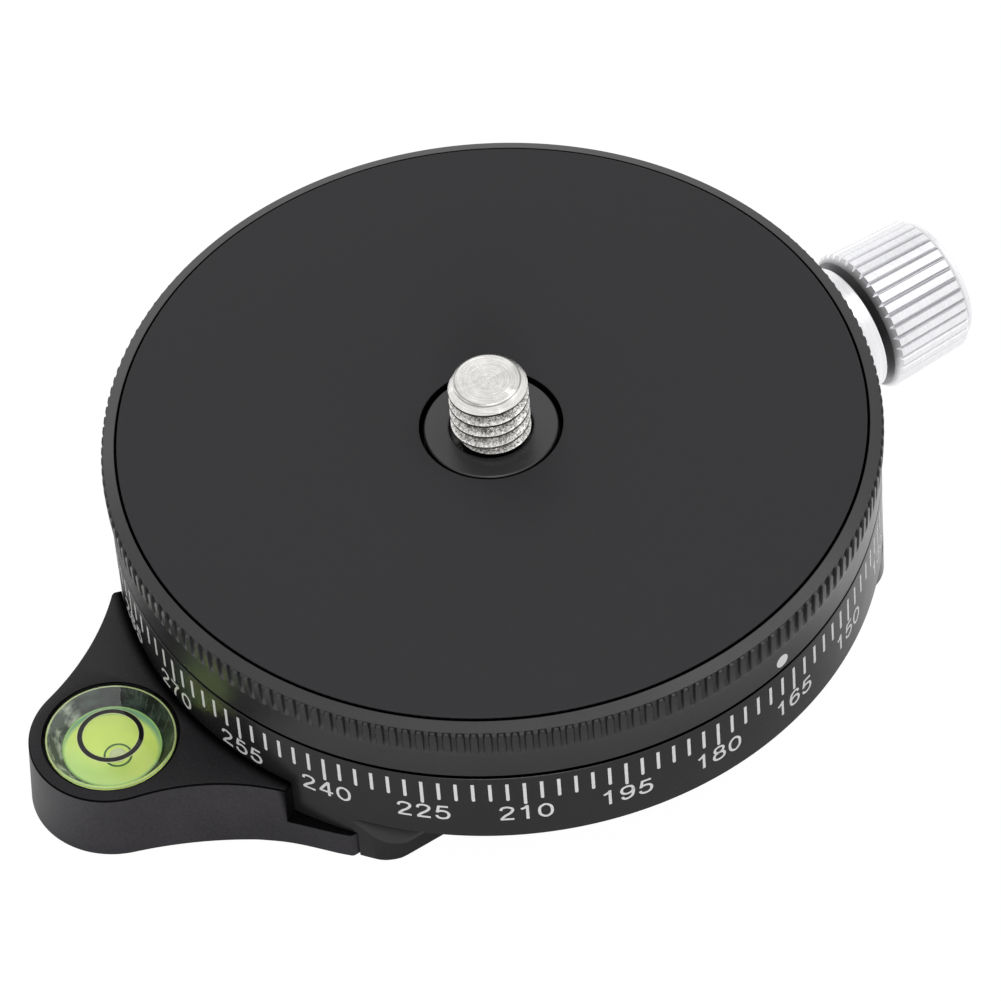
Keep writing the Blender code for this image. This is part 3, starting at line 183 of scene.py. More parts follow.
class BracketSizes(bpy.types.PropertyGroup):
    """Sizes of the level's bracket."""

    underside: length("Underside", "Height of the underside",
                      BOX["level_bracket"][0].z)
    top: length("Top", "Height of the top", BOX["level_bracket"][1].z)
    edge: length("Edge", "Of the top's bevel", 0.00014)
    tongue_top: length("Tongue top", "Height of the tongue", 0.0027)
    tongue_half: length("Tongue half width", "From the middle to a side", 0.01705)
    tongue_reach: length("Tongue reach", "Of its inner edge from the pan axis", 0.0215)
    tongue_end: length("Tongue end", "Its radius at the slit beside the foot", 0.0310)
    wall_radius: length("Wall radius", "Of the wall against the drum", 0.03077)
    tip_radius: length("Tip radius", "Of the tips from the pan axis", 0.0317)
    tip_angle: angle("Tip angle", "Of the tips from the middle", 24.1)
    step_angle: angle("Step angle", "Of the wall's near end from the middle", 23.8)
    far_step_angle: angle("Far step angle", "Of the wall's far end", 23.1)
    far_ledge: length("Far ledge", "Radius of the tongue past the far tip", 0.03066)
    far_tip_radius: length("Far tip radius", "Of the far tip from the pan axis", 0.03150)
    far_flank: length("Far flank", "Least radius of the far hollow flank", 0.024)
    end_radius: length("End radius", "Of the round end at the top", 0.0065)
    end_draft: length("End draft", "Growth of that radius down to the foot", 0.00035)
    flank_radius: length("Flank radius", "Of the hollow flanks at the top", 0.0175)
    flank_foot: length("Flank foot", "Of the hollow flanks at the foot", 0.034)


class LevelSizes(bpy.types.PropertyGroup):
    """Sizes of the bull's-eye level."""

    radius: length("Radius", "Of the clear vial", 0.00518)
    floor: length("Floor", "Height of the vial's underside", 0.0016)
    shoulder: length("Shoulder", "Height of the dome's edge", 0.00642)
    dome: length("Dome", "Rise of the dome", 0.0005)
    pool: length("Pool", "Radius of the coloured floor of the chamber", 0.00378)
    pool_height: length("Pool height", "Height of that floor", 0.0041)
    ring_inner: length("Ring inner radius", "Of the black target ring", 0.00222)
    ring_outer: length("Ring outer radius", "Of the black target ring", 0.00260)
    ring_height: length("Ring height", "Of the target ring", 0.0062)
    ring_halo: length("Ring halo", "Width of the pale lines beside the ring", 0.00006)
    bubble: length("Bubble", "Radius of the bubble", 0.00112)
    bubble_height: length("Bubble height", "Of the bubble", 0.0056)


class KnobSizes(bpy.types.PropertyGroup):
    """Sizes of the lock knob and the collar behind it, along the knob's axis."""

    start: length("Start", "Of the knob from the pan axis", BOX["lock_knob"][0].x)
    end: length("End", "Of the knob from the pan axis", BOX["lock_knob"][1].x)
    inner_radius: length("Inner radius", "Near the collar", 0.00605)
    outer_radius: length("Outer radius", "Near the free end", 0.00580)
    inner_chamfer: length("Inner chamfer", "Near the collar", 0.0005)
    outer_chamfer: length("Outer chamfer", "Of the free end", 0.00065)
    rim: length("Rim", "Plain end beyond the flutes", 0.0003)
    flute_count: IntProperty(name="Flutes", description="Round the knob", default=37, min=8)
    flute_depth: length("Flute depth", "From crest to valley", 0.00033)
    crest: share("Crest", "Flat of a crest, of the flutes' pitch", 0.62)
    valley: share("Valley", "Round of a valley, of the flutes' pitch", 0.06)
    collar_radius: length("Collar radius", "Of the collar", 0.0054)


class Finishes(bpy.types.PropertyGroup):
    """Colours of the finishes."""

    black: colour("Black", "Anodised drum", (0.016, 0.016, 0.017))
    platform: colour("Platform black", "Anodised platform", (0.026, 0.026, 0.028))
    blasted: colour("Blasted black", "Level's bracket", (0.030, 0.027, 0.032))
    pad: colour("Pad", "Grip pad", (0.037, 0.037, 0.040))
    steel: colour("Stainless", "Camera screw and foot plate", (0.74, 0.73, 0.71))
    screw: colour("Screw steel", "Small screws", (0.42, 0.42, 0.43))
    silver: colour("Silver", "Knob and collar", (0.84, 0.84, 0.86))
    brass: colour("Brass", "Bushing and brake shoe", (0.72, 0.55, 0.27))
    acetal: colour("Acetal", "Bearing rings and plug", (0.84, 0.84, 0.80))
    gasket: colour("Gasket", "Seal round the level", (0.003, 0.003, 0.003))
    fluid: colour("Fluid", "Level's fluid", (0.88, 1.0, 0.20))
    ink: colour("Ink", "White of the scale", (0.92, 0.92, 0.92))


# Meshes

def finished_mesh(name, bm, sharp=CRISP):
    """Weld a closed shell, face it outwards and shade it."""
    bmesh.ops.remove_doubles(bm, verts=bm.verts, dist=WELD)
    bmesh.ops.recalc_face_normals(bm, faces=bm.faces)
    mesh = bpy.data.meshes.new(name)
    bm.to_mesh(mesh)
    bm.free()
    mesh.shade_smooth()
    mesh.set_sharp_from_angle(angle=sharp)
    return mesh


def polar(reach, turn, *height):
    """A point by its distance from the Z axis and its turn, and its height if given."""
    return (reach * math.cos(turn), reach * math.sin(turn), *height)


def filleted(points, closed=True, steps=FILLET_STEPS):
    """Round the corners of a profile. A third number with a point is its fillet."""
    result = []
    for index, point in enumerate(points):
        at = Vector(point[:2])
        free_end = not closed and index in (0, len(points) - 1)
        if len(point) < 3 or free_end:
            result.append(tuple(at))
            continue
        before = Vector(points[index - 1][:2]) - at
        after = Vector(points[(index + 1) % len(points)][:2]) - at
        run = min(point[2], before.length * 0.45, after.length * 0.45)
        start = at + before.normalized() * run
        end = at + after.normalized() * run
        for step in range(steps + 1):
            t = step / steps
            result.append(tuple(start * (1 - t) ** 2 + at * 2 * t * (1 - t) + end * t ** 2))
    return result


def ring_section(inner, outer, low, high, *fillet):
    """The section of a plain ring or disc, its upper edges rounded by a fillet if given."""
    return [(inner, low), (outer, low), (outer, high, *fillet), (inner, high, *fillet)]


def lathe(name, profile, steps=ROUND, sharp=CRISP):
    """Turn a profile of (radius, height) points about Z.

    A profile that starts and ends on the axis is an open chain, and any other is the
    closed section of a ring.
    """
    bm = bmesh.new()
    closed = profile[0][0] > 0
    rings = []
    for radius, height in filleted(profile, closed):
        if radius < WELD:
            rings.append([bm.verts.new((0, 0, height))] * steps)
        else:
            rings.append([bm.verts.new(polar(radius, 2 * math.pi * step / steps, height))
                          for step in range(steps)])
    pairs = list(zip(rings, rings[1:]))
    if closed:
        pairs.append((rings[-1], rings[0]))
    for low, high in pairs:
        for here in range(steps):
            onward = (here + 1) % steps
            corners = dict.fromkeys((low[here], low[onward], high[onward], high[here]))
            if len(corners) > 2:
                bm.faces.new(corners)
    return finished_mesh(name, bm, sharp)


def linked(name, data):
    """A new object in the scene."""
    thing = bpy.data.objects.new(name, data)
    bpy.context.scene.collection.objects.link(thing)
    return thing


def drawn_out(corners, shift):
    """A bar: a flat outline, drawn out along a line."""
    bm = bmesh.new()
    face = bm.faces.new([bm.verts.new(corner) for corner in corners])
    grown = bmesh.ops.extrude_face_region(bm, geom=[face])["geom"]
    verts = [part for part in grown if isinstance(part, bmesh.types.BMVert)]
    bmesh.ops.translate(bm, verts=verts, vec=shift)
    return bm


def prism(name, outline, bottom, top, bevel=0.0):
    """Raise a plan outline, with its bottom edge drawn in by a bevel if given."""
    bm = drawn_out([(x, y, bottom + bevel) for x, y in outline],
                   (0, 0, top - bottom - bevel))
    bmesh.ops.recalc_face_normals(bm, faces=bm.faces)
    if bevel:
        base = min(bm.faces, key=lambda f: f.calc_center_median().z)
        bmesh.ops.inset_region(bm, faces=[base], thickness=bevel, depth=bevel,
                               use_even_offset=True)
    return finished_mesh(name, bm)


def evaluated(thing):
    """The mesh that an object's modifiers give, open to edits."""
    graph = bpy.context.evaluated_depsgraph_get()
    bm = bmesh.new()
    bm.from_mesh(bpy.data.meshes.new_from_object(thing.evaluated_get(graph)))
    return bm


def carved(mesh, *cuts, sharp=CRISP):
    """Run exact Booleans: meshes are taken away, pairs are an operation and a mesh."""
    helpers = [linked("carved", mesh)]
    for cut in cuts:
        operation, tool_mesh = cut if isinstance(cut, tuple) else ("DIFFERENCE", cut)
        helpers.append(linked("tool", tool_mesh))
        modifier = helpers[0].modifiers.new(operation, "BOOLEAN")
        modifier.operation = operation
        modifier.solver = "EXACT"
        modifier.object = helpers[-1]
    bm = evaluated(helpers[0])
    for helper in helpers:
        bpy.data.objects.remove(helper)
    bmesh.ops.dissolve_degenerate(bm, edges=bm.edges, dist=WELD)
    return finished_mesh(mesh.name, bm, sharp)


def moved(mesh, shift):
    """Move a mesh and return it."""
    mesh.transform(Matrix.Translation(shift))
    return mesh


def on_knob_line(mesh):
    """Lay a mesh that was made round Z along the knob's axis."""
    mesh.transform(Matrix.Translation(KNOB_AXIS) @ Matrix.Rotation(math.pi / 2, 4, "Y"))
    return mesh


def joined(name, *meshes, sharp=CRISP):
    """Put several closed shells in one mesh."""
    bm = bmesh.new()
    for mesh in meshes:
        bm.from_mesh(mesh)
    return finished_mesh(name, bm, sharp)


def arc(centre, radius, start, end, steps):
    """Points on an arc, both ends included."""
    points = [polar(radius, start + (end - start) * step / steps)
              for step in range(steps + 1)]
    return [(centre[0] + x, centre[1] + y) for x, y in points]


def hexagon_prism(name, corner_radius, bottom, top):
    """A hexagonal bar about Z."""
    return prism(name, arc(PAN_AXIS, corner_radius, 0, 2 * math.pi, 6)[:-1], bottom, top)


def threaded_rod(name, radius, pitch, depth, bottom, top, steps=SMALL_ROUND):
    """A right-handed thread whose rows follow the helix, longer than it is needed."""
    shares = ((0.00, 0.00), (0.06, 0.03), (0.11, 0.12), (0.47, 1.00), (0.60, 1.00),
              (0.96, 0.12))
    bm = bmesh.new()
    rows = []
    for turn in range(math.ceil((top - bottom) / pitch) + 3):
        for along, out in shares:
            reach = radius - depth * (1 - out)
            height = bottom + (turn - 2 + along) * pitch
            rows.append([bm.verts.new(polar(reach, 2 * math.pi * step / steps,
                                            height + pitch * step / steps))
                         for step in range(steps)])
    lead = len(shares)
    for index in range(len(rows) - lead - 1):
        low, high = rows[index], rows[index + 1]
        for step in range(steps - 1):
            bm.faces.new((low[step], low[step + 1], high[step + 1], high[step]))
        bm.faces.new((low[-1], rows[index + lead][0], rows[index + lead + 1][0], high[-1]))
    bmesh.ops.delete(bm, geom=[v for v in bm.verts if not v.link_faces], context="VERTS")
    for height, up in ((bottom - pitch / 2, -1), (top + pitch / 2, 1)):
        bmesh.ops.bisect_plane(bm, geom=[*bm.verts, *bm.edges, *bm.faces],
                               plane_co=(0, 0, height), plane_no=(0, 0, up),
                               clear_outer=True)
    bmesh.ops.holes_fill(bm, edges=[e for e in bm.edges if e.is_boundary])
    return finished_mesh(name, bm, SOFT)


def repeat_tree():
    """Geometry nodes that copy a cell round the Z axis and weld the copies."""
    name = "Repeat round the axis"
    if name in bpy.data.node_groups:
        return bpy.data.node_groups[name]
    tree = bpy.data.node_groups.new(name, "GeometryNodeTree")
    inputs = (("Cell", "Geometry"), ("Count", "Int"), ("Start", "Float"), ("Step", "Float"),
              ("Leave Out Every", "Int"), ("Weld Distance", "Float"),
              ("Finish", "Material"))
    for label, kind in inputs:
        tree.interface.new_socket(label, in_out="INPUT", socket_type=f"NodeSocket{kind}")
    tree.interface.new_socket("Geometry", in_out="OUTPUT", socket_type="NodeSocketGeometry")
    given = tree.nodes.new("NodeGroupInput").outputs
    index = tree.nodes.new("GeometryNodeInputIndex").outputs[0]
    skip = given["Leave Out Every"]
    points = add(tree, "GeometryNodePoints", {}, given["Count"])
    turn = calc(tree, "MULTIPLY_ADD", index, given["Step"], given["Start"])
    euler = add(tree, "ShaderNodeCombineXYZ", {}, Z=turn)
    facing = add(tree, "FunctionNodeEulerToRotation", {}, euler.outputs[0])
    kept = calc(tree, "GREATER_THAN", calc(tree, "MODULO", index, skip), 0.5)
    chosen = calc(tree, "MAXIMUM", kept, calc(tree, "LESS_THAN", skip, 0.5))
    copies = add(tree, "GeometryNodeInstanceOnPoints", {}, Points=points.outputs[0],
                 Selection=chosen, Instance=given["Cell"], Rotation=facing.outputs[0])
    real = add(tree, "GeometryNodeRealizeInstances", {}, copies.outputs[0])
    welded = add(tree, "GeometryNodeMergeByDistance", {}, Geometry=real.outputs[0],
                 Distance=given["Weld Distance"])
    painted = add(tree, "GeometryNodeSetMaterial", {}, Geometry=welded.outputs[0],
                  Material=given["Finish"])
    fill(tree, tree.nodes.new("NodeGroupOutput"), painted.outputs[0])
    return tree


def repeated(name, cell, finish_name, count, start=0.0, step=None, leave_out=0):
    """Copy a cell round the Z axis into one plain mesh."""
    carrier = linked("carrier", cell)
    modifier = carrier.modifiers.new("Repeat", "NODES")
    modifier.node_group = repeat_tree()
    values = {"Count": count, "Start": start, "Step": step or 2 * math.pi / count,
              "Leave Out Every": leave_out, "Weld Distance": WELD * 4,
              "Finish": finish(finish_name)}
    for item in modifier.node_group.interface.items_tree:
        if item.in_out == "INPUT" and item.name in values:
            modifier[item.identifier] = values[item.name]
    bm = evaluated(carrier)
    bpy.data.objects.remove(carrier)
    return finished_mesh(name, bm)


def place(name, mesh, finish_name, body, slot, *nodes):
    """Link a finished piece, ride it on its body and let it stand for its CAD nodes."""
    mesh.materials.clear()
    mesh.materials.append(finish(finish_name))
    piece = linked(name, mesh)
    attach(piece, body)
    if nodes:
        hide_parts(*nodes)


# Material nodes

def join(tree, socket, value):
    """Link a socket to another one, or set it. A colour may leave out its alpha."""
    if isinstance(value, bpy.types.NodeSocket):
        tree.links.new(value, socket)
    elif socket.type == "RGBA" and len(value) == 3:
        socket.default_value = (*value, 1)
    else:
        socket.default_value = value


def fill(tree, node, *ordered, **named):
    """Link or set the inputs of a node, in order and by name."""
    sockets = list(zip(node.inputs, ordered))
    sockets += [(node.inputs[key.replace("_", " ")], value) for key, value in named.items()]
    for socket, value in sockets:
        join(tree, socket, value)
    return node


def add(tree, kind, settings, *ordered, **named):
    """Add a node, set what it has and link or set its inputs."""
    made = tree.nodes.new(kind)
    for key, value in settings.items():
        setattr(made, key, value)
    return fill(tree, made, *ordered, **named)


def calc(tree, operation, *values):
    """The result of a math node."""
    return add(tree, "ShaderNodeMath", {"operation": operation}, *values).outputs[0]


def ramp(tree, value, low, high, start=0.0, end=1.0, kind="LINEAR"):
    """A value that goes from start to end while another goes from low to high."""
    return add(tree, "ShaderNodeMapRange", {"interpolation_type": kind}, value, low, high,
               start, end).outputs[0]


def eased(tree, value, low, high, start=0.0, end=1.0):
    """A ramp with soft ends."""
    return ramp(tree, value, low, high, start, end, "SMOOTHSTEP")


def noise(tree, place_on, scale, detail, roughness):
    """The value of a noise texture."""
    return add(tree, "ShaderNodeTexNoise", {}, Vector=place_on, Scale=scale, Detail=detail,
               Roughness=roughness).outputs[0]


def vector_calc(tree, operation, one, other, output=0):
    """The result of a vector math node."""
    return add(tree, "ShaderNodeVectorMath", {"operation": operation}, one,
               other).outputs[output]


def dot(tree, place_on, direction):
    """How far a place lies along a direction."""
    return vector_calc(tree, "DOT_PRODUCT", place_on, direction, "Value")


def split(tree, place_on):
    """The three parts of a place."""
    return add(tree, "ShaderNodeSeparateXYZ", {}, place_on).outputs


def object_place(tree):
    """The place that is shaded, in the coordinates of its object."""
    return tree.nodes.new("ShaderNodeTexCoord").outputs["Object"]


def reach_from(tree, place_on, centre=PAN_AXIS):
    """How far a place lies from an upright axis."""
    x, y, _ = split(tree, place_on)
    flat = add(tree, "ShaderNodeCombineXYZ", {}, x, y, 0.0).outputs[0]
    return vector_calc(tree, "DISTANCE", flat, (*centre[:2], 0), "Value")


def bumped(tree, strength, height, **named):
    """The normal that a height gives."""
    return add(tree, "ShaderNodeBump", {}, Strength=strength, Distance=0.00002,
               Height=height, **named).outputs[0]


def node_group(tree, inner, **named):
    """The outputs of a node group."""
    return add(tree, "ShaderNodeGroup", {"node_tree": inner}, **named).outputs


def wander(tree, value, spread):
    """A shade about 1 from a noise about a half."""
    centred = calc(tree, "SUBTRACT", value, 0.5)
    return calc(tree, "MULTIPLY_ADD", calc(tree, "MULTIPLY", centred, spread), 4.0, 1.0)


def shader_group(name, inputs, outputs):
    """A new shader node group with its named sockets."""
    tree = bpy.data.node_groups.new(name, "ShaderNodeTree")
    for label, kind, default in inputs:
        socket = tree.interface.new_socket(label, in_out="INPUT",
                                           socket_type=f"NodeSocket{kind}")
        if default is not None:
            socket.default_value = default
    for label in outputs:
        tree.interface.new_socket(label, in_out="OUTPUT", socket_type="NodeSocketFloat")
    return tree, tree.nodes.new("NodeGroupInput").outputs, tree.nodes.new("NodeGroupOutput")


def grain_group():
    """Fine even grain: a height for bumps and a shade that wanders a little."""
    name = "Grain"
    if name in bpy.data.node_groups:
        return bpy.data.node_groups[name]
    tree, given, out = shader_group(
        name, (("Scale", "Float", 8000.0), ("Patch Scale", "Float", 150.0),
               ("Spread", "Float", 0.1)), ("Height", "Shade", "Patch"))
    place_on = object_place(tree)
    fine = noise(tree, place_on, given["Scale"], 3.0, 0.6)
    patch = noise(tree, place_on, given["Patch Scale"], 4.0, 0.55)
    both = calc(tree, "MULTIPLY_ADD", patch, 0.4, calc(tree, "MULTIPLY", fine, 0.6))
    fill(tree, out, Height=fine, Shade=wander(tree, both, given["Spread"]), Patch=patch)
    return tree


def turning_group():
    """Lathe marks: fine lines round the Z axis of the coordinates that it is given."""
    name = "Turning marks"
    if name in bpy.data.node_groups:
        return bpy.data.node_groups[name]
    tree, given, out = shader_group(
        name, (("Vector", "Vector", None), ("Lines", "Float", 9000.0),
               ("Spread", "Float", 0.1)), ("Height", "Shade"))
    x, y, z = split(tree, given["Vector"])
    reach = reach_from(tree, given["Vector"])
    slow = calc(tree, "MULTIPLY", calc(tree, "ARCTAN2", y, x), 0.00015)
    track = add(tree, "ShaderNodeCombineXYZ", {}, reach, z, slow).outputs[0]
    lines = noise(tree, track, given["Lines"], 2.0, 0.7)
    fill(tree, out, Height=lines, Shade=wander(tree, lines, given["Spread"]))
    return tree


def new_material(name):
    """An empty node material and its shader."""
    material = bpy.data.materials.new(name)
    material.use_nodes = True
    return material, material.node_tree, material.node_tree.nodes["Principled BSDF"]


def mixed(tree, mask, base, other, blend="MIX"):
    """One colour where the mask is 0 and another, or their blend, where it is 1."""
    node = add(tree, "ShaderNodeMix", {"data_type": "RGBA", "blend_type": blend})
    for index, value in ((0, mask), (6, base), (7, other)):
        join(tree, node.inputs[index], value)
    return node.outputs[2]


def tinted(tree, tint, *shades):
    """A colour times one or more shades."""
    for shade in shades:
        tint = mixed(tree, 1.0, tint, shade, "MULTIPLY")
    return tint


def made_finish(name, base, metallic, roughness, wander_by, grain, grain_bump, lines=0.0,
                line_bump=0.0, line_shade=0.0, spread=0.06, on_knob=False, specular=0.5,
                zones=(), fluted=False):
    """A finish: grain, patches of gloss, lathe marks if it has lines, and painted shade."""
    material, tree, shader = new_material(name)
    grains = node_group(tree, grain_group(), Scale=grain, Patch_Scale=160.0, Spread=spread)
    shades = [grains["Shade"]]
    bump = bumped(tree, grain_bump, grains["Height"])
    if lines:
        place_on = object_place(tree)
        if on_knob:
            shifted = add(tree, "ShaderNodeMapping", {}, place_on, tuple(-KNOB_AXIS))
            place_on = add(tree, "ShaderNodeMapping", {}, shifted.outputs[0], (0, 0, 0),
                           (0, -math.pi / 2, 0)).outputs[0]
        marks = node_group(tree, turning_group(), Vector=place_on, Lines=lines,
                           Spread=line_shade)
        shades.append(marks["Shade"])
        bump = bumped(tree, line_bump, marks["Height"], Normal=bump)
        # Painted shade in the knob's flute valleys and on its inner end
        if fluted:
            shades.append(flute_shade(tree, place_on, bpy.context.scene.base_knob))
    tint, gloss = tinted(tree, base, *shades), specular
    # Painted shade: each zone dims colour and gloss, and one zone lightens instead
    for *place_of, kept, soft in zones:
        keep = ramp(tree, zone_mask(tree, *place_of, soft), 0.0, 1.0, 1.0, kept)
        tint, gloss = tinted(tree, tint, keep), calc(tree, "MULTIPLY", keep, gloss)
    rough = ramp(tree, grains["Patch"], 0.3, 0.7, roughness - wander_by,
                 roughness + wander_by)
    fill(tree, shader, Base_Color=tint, Metallic=metallic, Roughness=rough, Normal=bump,
         Specular_IOR_Level=gloss)
    return material


def flute_shade(tree, place_on, sizes):
    """Painted shade in the valleys of the knob's flutes and on its inner end, its axis along Z.
    """
    taper = (sizes.inner_radius - sizes.outer_radius) / (sizes.end - sizes.start)
    height = calc(tree, "ABSOLUTE", split(tree, place_on)[2])
    beyond = calc(tree, "SUBTRACT", height, sizes.start)
    level = calc(tree, "MULTIPLY_ADD", beyond, taper, reach_from(tree, place_on))
    crest, soft = sizes.inner_radius, 0.00004
    valley = crest - sizes.flute_depth
    shade = ramp(tree, level, valley, crest - soft, 0.72, 1.0)
    inside = calc(tree, "LESS_THAN", level, valley - soft)
    near = calc(tree, "LESS_THAN", beyond, sizes.inner_chamfer + 0.00012)
    kept = calc(tree, "MAXIMUM", shade, calc(tree, "MAXIMUM", inside, near))
    return calc(tree, "MULTIPLY", kept, ramp(tree, beyond, 0.00001, 0.00036, 0.38, 1.0))


def thread_finish(name, base, top):
    """Stainless steel with a mottled thread, painted shade in its valleys, and painted glints on
    top.
    """
    material, tree, shader = new_material(name)
    place_on = object_place(tree)
    x, y, height = split(tree, place_on)
    pits = ramp(tree, noise(tree, place_on, 5200.0, 5.0, 0.75), 0.40, 0.60)
    # Painted shade for the thread's valleys, mottled like the flanks
    valley_shaded = mixed(tree, pits, (0.05, 0.048, 0.045), (0.62, 0.61, 0.59))
    pitted = mixed(tree, pits, (0.30, 0.295, 0.285), (0.98, 0.97, 0.95))
    valley = radial_mask(tree, PAN_AXIS, -0.01, 0.00300, 0.00020)
    thread = mixed(tree, valley, pitted, valley_shaded)
    # Painted highlights: a fan of glints round the turned top
    glint_fan = add(tree, "ShaderNodeTexNoise", {"noise_dimensions": "1D"}, Scale=1.3, Detail=3.0,
              W=calc(tree, "ARCTAN2", y, x), Roughness=0.6).outputs[0]
    rays = ramp(tree, glint_fan, 0.35, 0.65, 1.0, 1.18)
    # Painted shade: a dark line at the chamfer's inner edge and a dimmer chamfer
    edge = radial_mask(tree, PAN_AXIS, 0.00256, 0.00266, 0.00003)
    slope = radial_mask(tree, PAN_AXIS, 0.00266, 0.004, 0.00002)
    rim = calc(tree, "MULTIPLY_ADD", edge, -0.60, 1.0)
    ring = calc(tree, "MULTIPLY_ADD", slope, -0.10, rim)
    marks = node_group(tree, turning_group(), Vector=place_on, Lines=9000.0, Spread=0.22)
    turned = tinted(tree, base, marks["Shade"], rays, ring)
    upper = calc(tree, "GREATER_THAN", height, top)
    fill(tree, shader, Base_Color=mixed(tree, upper, thread, turned), Metallic=1.0,
         Roughness=0.25, Normal=bumped(tree, 0.5, marks["Height"]))
    return material


def radial_mask(tree, centre, inner, outer, soft):
    """A mask that is 1 between two radii about an upright axis."""
    reach = reach_from(tree, object_place(tree), centre)
    return calc(tree, "MULTIPLY", eased(tree, reach, inner - soft, inner + soft),
                eased(tree, reach, outer - soft, outer + soft, 1.0, 0.0))


def zone_mask(tree, inner, outer, low, high, soft):
    """A mask that is 1 between two radii about the pan axis and two heights."""
    height = split(tree, object_place(tree))[2]
    between = calc(tree, "MULTIPLY", calc(tree, "GREATER_THAN", height, low),
                   calc(tree, "LESS_THAN", height, high))
    return calc(tree, "MULTIPLY", between, radial_mask(tree, PAN_AXIS, inner, outer, soft))


def show_both(tree, mask, shader, other):
    """Show one shader where the mask is 0 and another where it is 1."""
    both = add(tree, "ShaderNodeMixShader", {}, mask, shader.outputs[0], other.outputs[0])
    fill(tree, tree.nodes["Material Output"], Surface=both.outputs[0])


def clear_acrylic(name):
    """Clear polished acrylic that lets lamp light through to the fluid."""
    material, tree, shader = new_material(name)
    grains = node_group(tree, grain_group(), Scale=2500.0, Patch_Scale=300.0, Spread=0.02)
    fill(tree, shader, Base_Color=tinted(tree, (0.93, 0.97, 0.95), grains["Shade"]),
         Roughness=0.02, IOR=1.49, Transmission_Weight=1.0)
    rays = tree.nodes.new("ShaderNodeLightPath").outputs
    clear = add(tree, "ShaderNodeBsdfTransparent", {}, (0.94, 0.97, 0.95))
    show_both(tree, rays["Is Shadow Ray"], shader, clear)
    return material


def level_fluid(name, base, sizes):
    """Yellow-green fluid, with painted light on its near side, painted shade, and a painted
    glow.
    """
    material, tree, shader = new_material(name)
    grains = node_group(tree, grain_group(), Scale=900.0, Patch_Scale=260.0, Spread=0.10)
    tint = tinted(tree, base, grains["Shade"])
    from_centre = vector_calc(tree, "SUBTRACT", object_place(tree), tuple(LEVEL_CENTRE))
    # Painted light: the near side is tinted a paler mint
    nearer = dot(tree, from_centre, (-0.95, -0.30, 0.0))
    painted_mint_light = eased(tree, nearer, 0.0004, 0.0034, 0.0, 0.55)
    tint = mixed(tree, painted_mint_light, tint, (0.62, 0.98, 0.42))
    # Painted shade: a teal crescent at the far edge
    aside = (LEVEL_CENTRE.x - 0.00042, LEVEL_CENTRE.y - 0.00050)
    shade_crescent = radial_mask(tree, aside, sizes.pool * 0.97, sizes.pool * 2, 0.00028)
    tint = mixed(tree, shade_crescent, tint, (0.14, 0.36, 0.28))
    # Painted shade: darker at the fluid's edge
    deep = radial_mask(tree, LEVEL_CENTRE, sizes.pool * 0.965, sizes.pool * 2, 0.0001)
    tint = mixed(tree, deep, tint, (0.40, 0.66, 0.20))
    # Painted glow: the fluid gives off a little light of its own
    fill(tree, shader, Base_Color=tint, Roughness=0.25, Emission_Color=(0.50, 0.80, 0.22),
         Emission_Strength=0.16)
    return material


def vial_wall(name):
    """The vial's wall seen through the acrylic: painted shade behind, painted reflection streaks
    in front.
    """
    material, tree, shader = new_material(name)
    from_centre = vector_calc(tree, "SUBTRACT", object_place(tree), tuple(LEVEL_CENTRE))
    x, y, z = split(tree, from_centre)
    wide = calc(tree, "MULTIPLY", calc(tree, "ARCTAN2", y, x), 0.005)
    slow = calc(tree, "MULTIPLY", z, 1.3)
    track = add(tree, "ShaderNodeCombineXYZ", {}, wide, slow, 0.0).outputs[0]
    reflection_streaks = ramp(tree, noise(tree, track, 520.0, 4.0, 0.6), 0.44, 0.64)
    # Painted shade on the side of the wall behind the vial's centre
    behind = eased(tree, dot(tree, from_centre, (0.99, 0.10, 0.0)), -0.0012, 0.0010)
    pale = mixed(tree, reflection_streaks, (0.06, 0.08, 0.07), (0.72, 0.76, 0.68))
    deep = mixed(tree, reflection_streaks, (0.003, 0.006, 0.007), (0.05, 0.08, 0.07))
    fill(tree, shader, Base_Color=mixed(tree, behind, pale, deep), Roughness=0.35,
         Specular_IOR_Level=0.15)
    return material


def bubble_finish(name, radius):
    """Bubble with a pale core of painted highlight and a dark green outline of painted shade."""
    material, tree, shader = new_material(name)
    edge = radial_mask(tree, BUBBLE_CENTRE, radius * 0.80, radius * 1.5, radius * 0.04)
    core = radial_mask(tree, BUBBLE_CENTRE, 0, radius * 0.55, radius * 0.25)
    tint = mixed(tree, core, (0.62, 0.76, 0.32), (0.80, 0.84, 0.50))
    fill(tree, shader, Base_Color=mixed(tree, edge, tint, (0.045, 0.15, 0.035)),
         Roughness=0.2)
    return material


def zone(inner, outer, low, high, kept, soft=0.00001):
    """A part of a finish between two radii about the pan axis and two heights.

    The last numbers are how much of its colour and gloss it keeps and how wide its edge is.
    """
    return inner, outer, low, high, kept, soft


# Printed ink: no metal, roughness and its wander, grain and its bump
INK = (0.0, 0.5, 0.06, 6000.0, 0.1)
